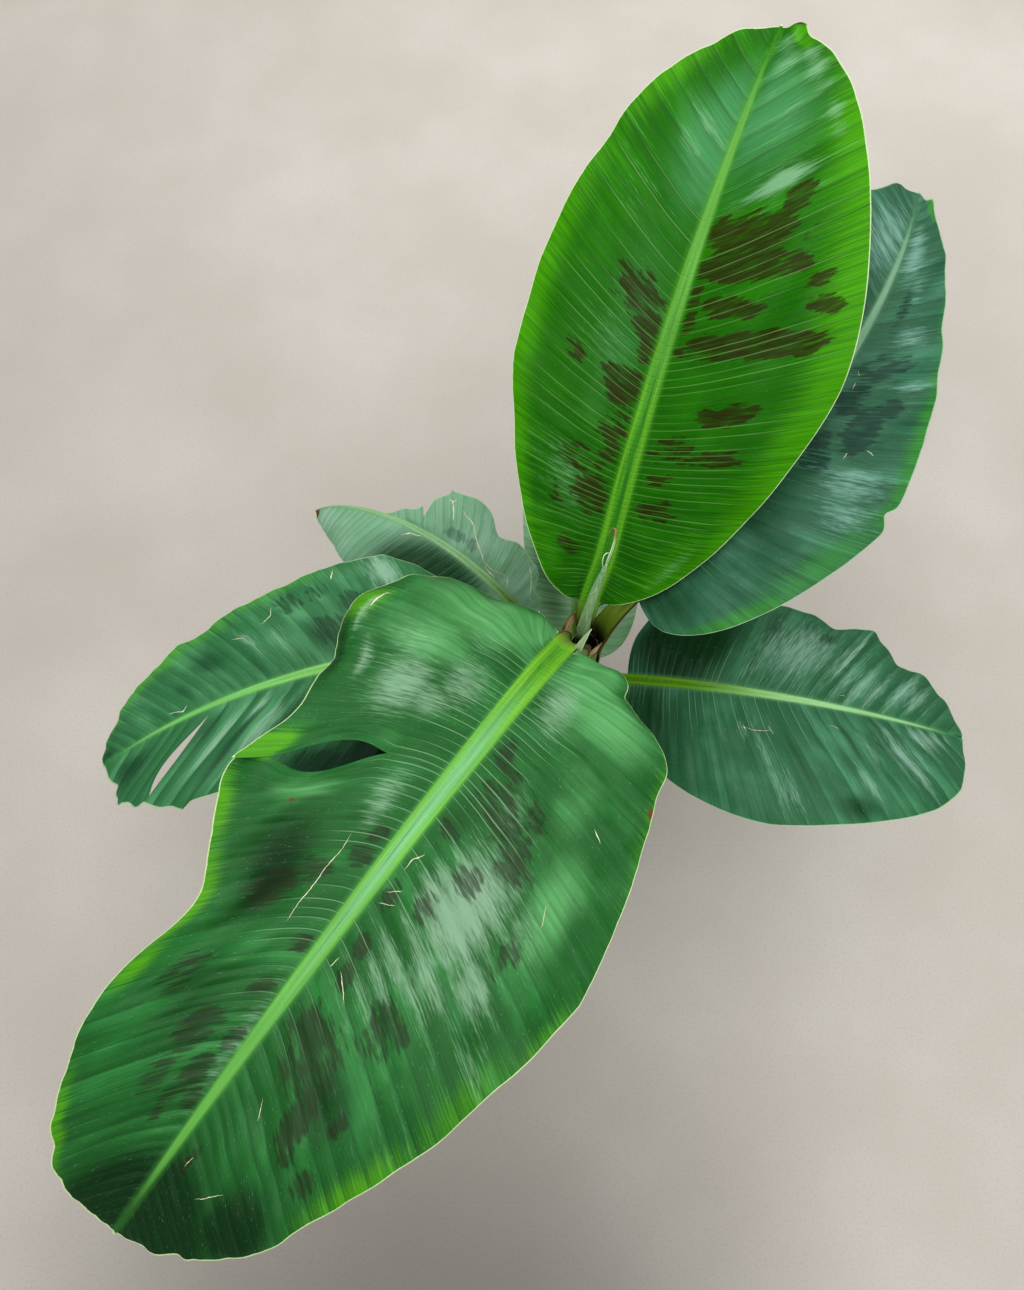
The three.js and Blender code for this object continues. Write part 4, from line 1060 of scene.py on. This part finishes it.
def makeStalk(leaf, rib, layer, material):
    # The leaf's sheath hugs the stem and opens into its petiole. Each ring is a channel section, its upper
    # face from left to right and then the underside back. On the stem the section lies on circles of radius
    # R and R + t; on the petiole it has a square-rounded underside and a hollow upper face. smooth(distance)
    # blends the two.
    form, meeting, petiole = stalkForm, leaf["root"][1], leaf["petiole"]
    sheathRun = meeting - stem["foot"] - form["sheathStep"]
    overlap = petiole + form["overlap"]
    onStem = np.linspace(-petiole - sheathRun, -overlap, int(sheathRun / form["sheathStep"]))
    onStalk = np.linspace(-overlap, -form["bladeGap"], int(overlap / form["petioleStep"]))[1:]
    distance = np.concatenate([onStem, onStalk])[:, None]
    square = petioleForm["squareness"]
    turn = np.cos(np.linspace(np.pi, 0, form["lowerPoints"] + 2)[1:-1])
    lowerAcross = np.sign(turn) * np.abs(turn) ** (2 / square)
    across = np.concatenate([np.linspace(1, -1, form["upperPoints"]), lowerAcross])[None] + 0 * distance
    isUpper = (np.arange(across.shape[1]) < form["upperPoints"]) + 0.0 * distance

    # As a sheath
    below = -(distance + petiole)
    height = meeting - below
    spread = np.radians(mix(sheath["open"], sheath["wrap"], smooth(0.005, sheath["wrapDepth"], below)))
    inner = stemRadius(height) - sheath["coreInset"] + sheath["layerStep"] * layer
    middleThick = mix(*form["sheathThick"], np.exp(-np.clip(below, 0, None) / form["thinning"]))
    thick = middleThick * np.sqrt(np.clip(1 - across ** 2, 0, 1)) + form["edgeThick"]
    radius = inner + np.where(isUpper > 0, 0, thick)
    angle = np.radians(leaf["heading"][0]) + across * spread
    hugging = np.stack([radius * np.cos(angle), radius * np.sin(angle), height + 0 * angle], -1)

    # As a petiole
    share = np.clip((distance + petiole) / petiole, 0, 1)
    half = mix(leaf["foot"][0], leaf["rib"][0], share ** 0.8) / 2
    depth = mix(leaf["foot"][1], leaf["rib"][1] + bladeForm["thickness"], share ** 0.8)
    hollow = -petioleForm["hollow"] * depth * (1 - across ** 4)
    top = mix(hollow, ribTopFace(leaf, 0.0, across), share ** 1.6)
    under = -depth * np.clip(1 - np.abs(across) ** square, 0, 1) ** (1 / square)
    point, along, left, up = rib(distance)
    free = point + left * (across * half)[..., None] + up * np.where(isUpper > 0, top, under)[..., None]
    blend = smooth(-petiole - petioleForm["blendBelow"], -petiole + petioleForm["blendAbove"], distance)
    rings = mix(hugging, free, blend[..., None])
    tint = np.array(linear(leafLooks[leaf["name"]][1]["ribFoot"])[:3])
    level = 0 * across
    fields = {"grain": np.stack([distance + level, across * half, isUpper], -1), "across": np.abs(across),
              "upper": isUpper, "below": below * 1000 + level, "bladeGap": -distance * 1000 + level,
              "ribTint": tint + 0 * rings}
    points, quads, fields = skinRings(rings, fields)
    name = leaf["name"]
    return makePiece(name + "_stalk", points, quads, fields, material, "petiole", [name + "_petiole"])


def stalkSkin():
    # Waxy green leaf stalk and sheath: pale yellow-green, drawn lengthwise by its fibres 1 to 3 mm apart,
    # with thin papery brown edges where it has dried, and near-black painted shade on upper faces down in
    # the crown and inside the stem's open top
    material, tree = newMaterial("waxy_leaf_stalk")
    field, grain = readFields(tree, ("across", "upper", "below", "bladeGap"))
    ribTint = addNode(tree, "Attribute", attribute_name="ribTint").outputs["Color"]
    sizes = {"fibre": (60, 1.5), "cloud": (40, 12), "fleck": (9, 4)}        # millimetres along and across it
    fibre, cloud, fleck = [stretchedNoise(tree, grain, (1000 / alongMm, 1000 / acrossMm, 5))
                           for alongMm, acrossMm in sizes.values()]
    onSheath = field["below"].ramp(-10, 60)
    nearBlade = (field["bladeGap"] + cloud * 20).ramp(45, 8)
    # Painted shade, near black, on upper faces down in the crown
    sheathCrownShade = field["below"].ramp(-48, -12, 0.92) * field["upper"]
    brown = (field["across"] + (cloud - 0.5) * 0.1).ramp(0.93, 0.97)
    colour = layered(tree, "#8fae48", [(cloud.ramp(0.35, 0.7), "#a9c46c"), (field["upper"] * 0.7, "#7d9226"),
                                       (onSheath, "#93a558"), (nearBlade, ribTint),
                                       (fleck.ramp(0.58, 0.66, 0.6) * onSheath, "#5a4030"),
                                       (sheathCrownShade, "#1b140b"), (brown, "#5d4020")])
    light = fibre.between(0.3, 0.7, 0.85, 1.12)
    colour = addNode(tree, "HueSaturation", {"Value": light, "Color": colour}).outputs[0]
    finishMaterial(tree, colour, 0.42, fibre, 0.4, 0.4, {"IOR": 1.45})
    return material


stalkMaterial = stalkSkin()
for layer, leaf in enumerate(leaves, 1):
    makeStalk(leaf, ribs[leaf["name"]], layer, stalkMaterial)
print("stalks and sheaths made")

coreForm = {"wall": 0.0012, "hollowDepth": 0.05, "sides": 72}


def makeStem(material):
    # The innermost sheath: an upright tube, open at the top, whose inner wall goes down to a floor
    outside = np.linspace(stem["foot"], stem["top"], 80)
    inside = np.linspace(stem["top"], stem["top"] - coreForm["hollowDepth"], 12)
    heights = np.concatenate([outside, inside])
    isInner = np.arange(len(heights)) >= len(outside)
    rings = turnRings(stemRadius(heights) - sheath["coreInset"] - coreForm["wall"] * isInner, heights,
                      coreForm["sides"])
    level = 0 * rings[..., 0]
    # The inner wall counts as an upper face, so the stalk skin paints it near black with shade
    fields = {"grain": rings[..., [2, 0, 1]], "across": level, "upper": level + isInner[:, None],
              "below": level + 100, "bladeGap": level + 100}
    points, quads, fields = skinRings(rings, fields)
    return makePiece("pseudostem_core", points, quads, fields, material, "sheath", ["pseudostem"])


makeStem(stalkMaterial)

# radii are (share of the length, millimetres). Two free edges wind round it: starts and turns are where each
# begins and how often it goes round.
spear = {"foot": 0.500, "length": 0.287, "shift": -0.005, "bend": (0.0105, -0.005), "starts": (0, 0.45),
         "turns": (1.5, 2.7), "lapStep": 0.12, "crownShade": (0.602, 0.574),
         "radii": ((0, 7.8), (0.3, 7.5), (0.42, 6.6), (0.56, 5.7), (0.70, 5.0), (0.81, 4.4), (0.9, 3.5),
                   (0.97, 2.1), (1, 0.8))}


def makeSpear(material):
    # The rolled leaf: a ring of radius r(share) (1 - step + 2 step wound), where wound is the turn from the
    # free edge. lap is the distance in mm from the nearer of the two edges. Its middle bends as share^3 in x
    # and as share^2 in y.
    share = np.linspace(0, 1, 170)[:, None]
    angle = np.linspace(0, 2 * np.pi, 64, endpoint=False)[None]
    radius = np.interp(share, *np.transpose(spear["radii"])) / 1000 + 0 * angle
    wound, inner = [np.mod(angle / (2 * np.pi) + start - turns * share, 1)
                    for start, turns in zip(spear["starts"], spear["turns"])]
    lap = np.minimum(1 - wound, 1 - inner) * 2 * np.pi * radius * 1000
    radius = radius * (1 - spear["lapStep"] + 2 * spear["lapStep"] * wound * smooth(0, 0.06, 1 - wound))
    height = spear["foot"] + spear["length"] * share
    rings = np.stack([radius * np.cos(angle) + spear["shift"] + spear["bend"][0] * share ** 3,
                      radius * np.sin(angle) + spear["bend"][1] * share ** 2, height + 0 * angle], -1)
    # Painted shade, near black, fades in below the crown's rim as the spear sinks into it
    crownShade = smooth(*spear["crownShade"], height) + 0 * lap
    fields = {"grain": rings, "lap": lap, "dried": 0 * lap, "crownShade": crownShade}
    points, quads, fields = skinRings(rings, fields)
    return makePiece("spear_roll", points, quads, fields, material, "rolled_leaf", ["spear_leaf"])


def makeTongue(name, form, material, slot):
    # A thin strip of tissue. Its middle is a smooth curve that its path's points P(k) pull on: the sum over
    # k of C(n, k) t^k (1 - t)^(n - k) P(k). Across it bends as an arc: out w sin(a) / bend and up
    # w (1 - cos(a)) / bend.
    share = np.linspace(0, 1, form.get("rings", 40))[:, None]
    path, order = np.array(form["path"]) / 1000, len(form["path"]) - 1
    centre = sum(comb(order, k) * share ** k * (1 - share) ** (order - k) * point
                 for k, point in enumerate(path))
    along = np.gradient(centre, axis=0)
    along = along / np.linalg.norm(along, axis=1)[:, None]
    left = np.cross(mix(*np.array(form["face"], float), share), along)
    left = left / np.linalg.norm(left, axis=1)[:, None]
    up = np.cross(along, left)
    half = np.interp(share, np.linspace(0, 1, len(form["widths"])), form["widths"]) / 2000
    ragged = waves(share * np.ptp(path[:, 2]), len(name), (0.006, 0.011, 0.023))
    half = half * (1 + form.get("ragged", 0) * ragged)
    face = np.linspace(1, -1, 13)
    across = np.concatenate([face, face[::-1]])[None]
    bend = np.radians(form["bend"])
    sine, cosine = np.sin(across * bend), np.cos(across * bend)
    out, lift = half * sine / bend, half * (1 - cosine) / bend
    normal = up[:, None] * cosine[..., None] - left[:, None] * sine[..., None]
    under = np.repeat([0.0, 1.0], len(face)) * form["thick"] / 1000 * np.sqrt(1.05 - across ** 2)
    rings = centre[:, None] + left[:, None] * out[..., None] + up[:, None] * lift[..., None]
    rings = rings - normal * under[..., None]
    distance = np.linalg.norm(np.diff(centre, axis=0, prepend=centre[:1]), axis=1).cumsum()[:, None]
    level = 0 * across * half
    fields = {"grain": np.stack([across * half, level + len(name), level + distance], -1),
              "lap": (1 - np.abs(across)) * half * 1000, "dried": form.get("dried", 0) * share + level,
              "crownShade": level + form.get("shade", 0)}
    points, quads, fields = skinRings(rings, fields)
    return makePiece(name, points, quads, fields, material, slot)


def rolledSkin():
    # A leaf still rolled up, pale grey-green and waxy: fine lengthwise grain 1.4 mm apart, whitish free
    # edges that wind round it, a thin brown tint where its fine tip has begun to dry, and near-black painted
    # shade where it sinks into the crown
    material, tree = newMaterial("pale_rolled_leaf_skin")
    field, grain = readFields(tree, ("lap", "dried", "crownShade"))
    streak = stretchedNoise(tree, grain, (1000 / 1.4, 1000 / 1.4, 1000 / 30))
    cloud = stretchedNoise(tree, grain, (90, 90, 90))        # about 11 mm
    edge = (field["lap"] + streak * 0.6).ramp(1.3, 0.6, 0.85)
    brown = (field["dried"] + streak * 0.3).ramp(0.45, 0.75)
    colour = layered(tree, "#88b077", [
        (streak.ramp(0.35, 0.65), "#b4d0a4"), (cloud.ramp(0.5, 0.75, 0.6), "#bcd4b4"), (edge, "#e0eacc"),
        (brown, "#94744a"), (field["crownShade"], "#1b140b")])
    finishMaterial(tree, colour, 0.45, streak, 0.5, 0.4, {"IOR": 1.45, "Specular IOR Level": 0.3})
    return material


def huskSkin():
    # Dead sheath tissue dried to tan paper, with darker lengthwise fibres 0.9 mm apart and brown blotches
    material, tree = newMaterial("dry_papery_husk")
    grain = addNode(tree, "Attribute", attribute_name="grain").outputs["Vector"]
    fibre, blotch = [stretchedNoise(tree, grain, (1000 / acrossMm, 1000 / acrossMm, 1000 / alongMm))
                     for acrossMm, alongMm in ((0.9, 35), (7, 14))]
    colour = layered(tree, "#b39865", [(fibre.ramp(0.45, 0.7), "#d8c69a"),
                                       (blotch.ramp(0.5, 0.66, 0.85), "#6b4524")])
    finishMaterial(tree, colour, 0.8, fibre, 0.8, 0.4)
    return material


rolledMaterial, huskMaterial = rolledSkin(), huskSkin()
makeSpear(rolledMaterial)

# Thin strips in and under the crown. Paths and widths are in millimetres, bends in degrees. face is the way
# that the upper side looks at the foot and at the tip. crown_flap is the pale wing of leaf_2's stalk.
paleStrips = {
    "spear_tip_curl": {
        "path": ((5.3, -4.8, 783), (6, -3, 796), (13, 6, 809), (18, 20, 819), (9, 27, 818), (6, 17, 806)),
        "widths": (3.2, 4, 3.2, 2.4, 1.6, 0.8), "face": ((-1, -0.3, 0.3), (0.4, 0.6, 0.7)), "rings": 60,
        "bend": 55, "thick": 0.5, "dried": 1},
    "spear_tip_hook": {
        "path": ((3.5, -5.5, 776), (0, -4, 790), (1, 3, 799), (7, 3, 797)), "widths": (3, 2.2, 1.2, 0.5),
        "face": ((-1, 0, 0.3), (-0.5, 0, 1)), "bend": 40, "thick": 0.4},
    # crown_flap's shade darkens it by a quarter with painted shade
    "crown_flap": {
        "path": ((-18, -53, 664), (-17, -50, 672), (-11, -43, 683), (-3, -35, 693)),
        "widths": (8, 9, 7.5, 4.5, 0.6), "face": ((-0.1, -0.35, 0.93), (-0.1, -0.35, 0.93)),
        "bend": 40, "thick": 0.8, "shade": 0.25},
}
huskStrips = {
    "crown_husk_far": {
        "path": ((-24, 0, 545), (-27, 10, 565), (-20, 20, 580), (-8, 29, 592)), "widths": (14, 17, 13, 7, 1),
        "face": ((0.3, -0.6, 0.8), (0, -0.5, 1)), "bend": 50, "thick": 0.6, "ragged": 0.35},
    "crown_husk_near": {
        "path": ((-4, -16, 545), (4, -16, 552), (12, -10, 556), (20, 0, 558)), "widths": (3, 6, 7, 5, 1),
        "face": ((0.3, -0.3, 1), (0.3, -0.3, 1)), "bend": 35, "thick": 0.6, "ragged": 0.3},
}
for name, form in paleStrips.items():
    makeTongue(name, form, rolledMaterial, "rolled_leaf")
for name, form in huskStrips.items():
    makeTongue(name, form, huskMaterial, "sheath")

# Each dead sheath round the stem's foot: its direction in degrees, then its height, width and lean in
# millimetres
footHusks = ((20, 92, 34, 9), (118, 64, 40, 14), (205, 110, 36, 6), (296, 55, 30, 17))


def makeFootHusks(material):
    # Each strip hugs the stem at its radius plus a small gap, and its tip leans out
    foot = stem["footRadius"] * 1000
    for number, (degrees, height, width, lean) in enumerate(footHusks, 1):
        angle = np.radians(degrees)
        outward = np.array([np.cos(angle), np.sin(angle), 0])
        curve = ((foot + 2.5, 165), (foot - 1, 175 + height * 0.3), (foot - 1.5, 175 + height * 0.7),
                 (foot - 4 + lean, 175 + height))
        path = [outward * radius + (0, 0, rise) for radius, rise in curve]
        form = {"path": path, "widths": (width, width, width * 0.85, width * 0.6, 3),
                "face": (-outward, -outward), "bend": 32, "thick": 0.6, "ragged": 0.12}
        makeTongue("foot_husk_%d" % number, form, material, "sheath")


makeFootHusks(huskMaterial)
print("spear and crown made")

potForm = {"height": 0.190, "footRadius": 0.076, "rimRadius": 0.100, "rimHeight": 0.022, "rimStep": 0.004,
           "footBevel": 0.003, "lipRadius": 0.0012, "wallInset": 0.0045, "innerFloor": 0.150, "sides": 192}


def makePot():
    # Turned profile: flat foot, straight tapering wall, stepped rim band with a rolled lip, inner wall and
    # floor
    form = potForm
    top, rim, foot, lip = form["height"], form["rimRadius"], form["footRadius"], form["lipRadius"]
    rimFoot = top - form["rimHeight"]
    slope = (rim - form["rimStep"] - foot) / rimFoot
    wallHeights = np.linspace(0.004, rimFoot - 0.001, 40)
    lipTurn = np.linspace(0, np.pi, 9)
    innerHeights = np.linspace(top - 0.004, form["innerFloor"], 10)
    radii = np.concatenate([[foot - form["footBevel"], foot], foot + slope * wallHeights,
                            [rim - 0.0022, rim - 0.001], rim - lip + lip * np.cos(lipTurn),
                            rim - form["wallInset"] - (top - innerHeights) * slope])
    heights = np.concatenate([[0, 0.0025], wallHeights, [rimFoot, rimFoot + 0.0015],
                              top - lip + lip * np.sin(lipTurn), innerHeights])
    # Moulded polypropylene: dull dark nursery plastic, faintly scuffed in marks 6 x 33 mm, with 1 mm grit
    material, tree = newMaterial("moulded_polypropylene")
    where = addNode(tree, "TexCoord").outputs["Object"]
    scuff = stretchedNoise(tree, where, (160, 160, 30), 4)
    grit = stretchedNoise(tree, where, (900, 900, 900), 2)
    colour = layered(tree, "#262726", [(scuff.ramp(0.45, 0.8, 0.6), "#45443f")])
    finishMaterial(tree, colour, scuff.between(0, 1, 0.45, 0.7), grit, 0.25, 0.2, {"IOR": 1.49})
    points, quads, fields = skinRings(turnRings(radii, heights, form["sides"]))
    return makePiece("nursery_pot", points, quads, fields, material, "pot_plastic", ["pot"], 35)


soilForm = {"level": 0.174, "mound": 0.005, "radius": 0.0925, "bumps": 0.003, "underside": 0.155}


def soilHeight(x, y):
    # A low mound, level + mound cos(90 degrees x r / radius), with bumps of several sizes
    bumps = waves(x + 0.6 * y, 5, (0.011, 0.019, 0.034)) * waves(y - 0.5 * x, 6, (0.009, 0.016, 0.03))
    dome = np.cos(np.hypot(x, y) / soilForm["radius"] * np.pi / 2)
    return soilForm["level"] + soilForm["mound"] * dome + soilForm["bumps"] * bumps


def looseMixSkin(name, bitsPerMetre, detail, colours, shown, roughness, strength, depthMm):
    # Loose growing mix: dull crumbs and broken bits with lighter faces, all from one noise
    material, tree = newMaterial(name)
    where = addNode(tree, "TexCoord").outputs["Object"]
    crumb = stretchedNoise(tree, where, (bitsPerMetre,) * 3, detail)
    colour = layered(tree, colours[0], [(crumb.ramp(*shown), colours[1])])
    finishMaterial(tree, colour, roughness, crumb, strength, depthMm)
    return material


def makeSoil():
    # Rings out to the pot's inner wall on the mound, over a flat underside
    radii = np.concatenate([[0.002], np.linspace(0.01, soilForm["radius"], 60)])[::-1]
    rings = turnRings(radii, 0 * radii, 160)
    rings[..., 2] = soilHeight(rings[..., 0], rings[..., 1])
    lower = rings[:1] * (1, 1, 0) + (0, 0, soilForm["underside"])
    points, quads, fields = skinRings(np.concatenate([lower, rings]))
    # Moist peat with lighter fibres, in crumbs of about 2 mm
    material = looseMixSkin("moist_peat_mix", 450, 5, ("#2a1d14", "#5a4030"), (0.45, 0.75), 0.9, 1.0, 2)
    return makePiece("potting_mix", points, quads, fields, material, "potting_mix", ["potting_soil"], 80)


# Loose bits on the mix: how many, their size in millimetres, seed, material and two colours
crumbForms = {
    "bark_chips": {"count": 90, "sizesMm": (9, 5, 3), "seed": 21, "material": "composted_pine_bark",
                   "colours": ("#3a2618", "#6b4a30")},
    "perlite_grains": {"count": 60, "sizesMm": (3, 3, 2.4), "seed": 22, "material": "expanded_perlite",
                       "colours": ("#b9b4a8", "#dcd8cf")},
}


def makeCrumbs(name, form):
    # Rings of six points on a lumpy egg, turned and scaled at random, sunk by a third
    count, sizesMm, random = form["count"], form["sizesMm"], np.random.default_rng(form["seed"])
    profile = np.array([(0.5, -0.45), (1, -0.1), (0.85, 0.3), (0.4, 0.5)])
    egg = turnRings(profile[:, 0], profile[:, 1], 6).reshape(-1, 3)
    far = np.sqrt(random.uniform(0.38 ** 2, 0.97 ** 2, count)) * 0.0915
    around, spin = random.uniform(0, 2 * np.pi, (2, count))
    x, y = far * np.cos(around), far * np.sin(around)
    scale = random.uniform(0.7, 1.3, (count, 1, 3)) * np.array(sizesMm) / 2000
    shape = egg * (1 + random.uniform(-0.18, 0.18, (count, len(egg), 3))) * scale
    tilt = random.uniform(-0.4, 0.4, (count, 1))
    cos, sin = np.cos(spin)[:, None], np.sin(spin)[:, None]
    shape = np.stack([shape[..., 0] * cos - shape[..., 1] * sin, shape[..., 0] * sin + shape[..., 1] * cos,
                      shape[..., 2] + tilt * shape[..., 0]], -1)
    shape = shape + np.stack([x, y, soilHeight(x, y) + sizesMm[2] / 6000], -1)[:, None]
    sets = [skinRings(bit.reshape(len(profile), 6, 3)) for bit in shape]
    points = np.concatenate([found[0] for found in sets])
    quads = np.concatenate([found[1] + number * len(found[0]) for number, found in enumerate(sets)])
    material = looseMixSkin(form["material"], 600, 3, form["colours"], (0.4, 0.7), 0.85, 0.7, 0.6)
    return makePiece(name, points, quads, {}, material, "potting_mix", (), 25)


makePot()
makeSoil()
for name, form in crumbForms.items():
    makeCrumbs(name, form)
print("pot and potting mix made")

# Each lamp: place, size in metres and power in watts
lamps = {"overheadLight": ((0.2, 1.2, 3.3), 4.0, 62), "frontFill": ((-0.5, -1.3, 3.3), 3.0, 42)}


def floorSkin():
    # Smooth pale warm grey screed: clouds of about 0.3 m and grit of 4 mm, with painted light that brightens
    # it towards the back and the right, and a soft painted shadow on the floor in front
    material, tree = newMaterial("pale_floor_screed")
    where = addNode(tree, "TexCoord").outputs["Object"]
    cloud, grit = stretchedNoise(tree, where, (3, 3, 3), 4), stretchedNoise(tree, where, (260, 260, 260))
    place = addNode(tree, "SeparateXYZ", {0: where})
    x, y = Amount(place.outputs["X"]), Amount(place.outputs["Y"])
    # Painted shadow in front of the plant, and painted light growing towards the back and the right
    paintedFloorShadow = y.ramp(-0.25, -0.85) * abs(x + 0.2).ramp(0.75, 0.1, 0.55)
    tone = (y.ramp(0.4, 1.8, 0.22) + 1 - paintedFloorShadow) * x.between(-1, 1, 0.92, 1.08)
    colour = layered(tree, "#c0b8ae", [(cloud.ramp(0.3, 0.8), "#cbc4bb"),
                                       (grit.ramp(0.45, 0.8, 0.35), "#a79f95")])
    colour = addNode(tree, "HueSaturation", {"Value": tone, "Color": colour}).outputs[0]
    shader = addNode(tree, "BsdfPrincipled", {"Base Color": colour, "Roughness": 0.75})
    addNode(tree, "OutputMaterial", {"Surface": shader.outputs[0]})
    return material


def makeStage():
    # A plain floor, a broad soft light overhead and a little behind, a fill in front, and an even sky
    mesh = bpy.data.meshes.new("floor")
    mesh.from_pydata([(-4, -4, 0), (4, -4, 0), (4, 4, 0), (-4, 4, 0)], [], [(0, 1, 2, 3)])
    mesh.materials.append(floorSkin())
    floorPiece = bpy.data.objects.new("floor", mesh)
    bpy.context.scene.collection.objects.link(floorPiece)
    floorPiece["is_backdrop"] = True

    for name, (place, size, power) in lamps.items():
        lamp = bpy.data.lights.new(name, "AREA")
        lamp.shape, lamp.size, lamp.energy = "DISK", size, power
        light = bpy.data.objects.new(name, lamp)
        light.location = place
        towards = Vector((0, 0, 0.6)) - Vector(place)
        light.rotation_euler = towards.to_track_quat("-Z", "Y").to_euler()
        bpy.context.scene.collection.objects.link(light)
    world = bpy.data.worlds.new("evenSky")
    world.use_nodes = True
    sky = world.node_tree.nodes["Background"].inputs
    sky["Color"].default_value = linear("#eef2f5")
    sky["Strength"].default_value = 0.45
    bpy.context.scene.world = world
    bpy.context.scene.view_settings.view_transform = "Standard"
    bpy.context.scene.view_settings.look = "Medium High Contrast"


cameraSetup = {"place": (-0.0855, -0.414, 1.686), "lookDown": 70, "focalPixels": 1025,
               "imageSize": (1024, 1290)}


def makeCamera():
    # The lens that gives the photo's focal length in pixels: sensor x focal pixels / long side
    data = bpy.data.cameras.new("photoCamera")
    data.sensor_width = 36
    data.lens = data.sensor_width * cameraSetup["focalPixels"] / max(cameraSetup["imageSize"])
    data.clip_start = 0.01
    camera = bpy.data.objects.new("photoCamera", data)
    camera.location = cameraSetup["place"]
    camera.rotation_euler = (np.radians(90 - cameraSetup["lookDown"]), 0, 0)
    bpy.context.scene.collection.objects.link(camera)
    bpy.context.scene.camera = camera


makeStage()
makeCamera()
print("camera and light set")
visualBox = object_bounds()
boxes = {"cad": [list(corner) for corner in cadBox], "visual": [list(corner) for corner in visualBox]}
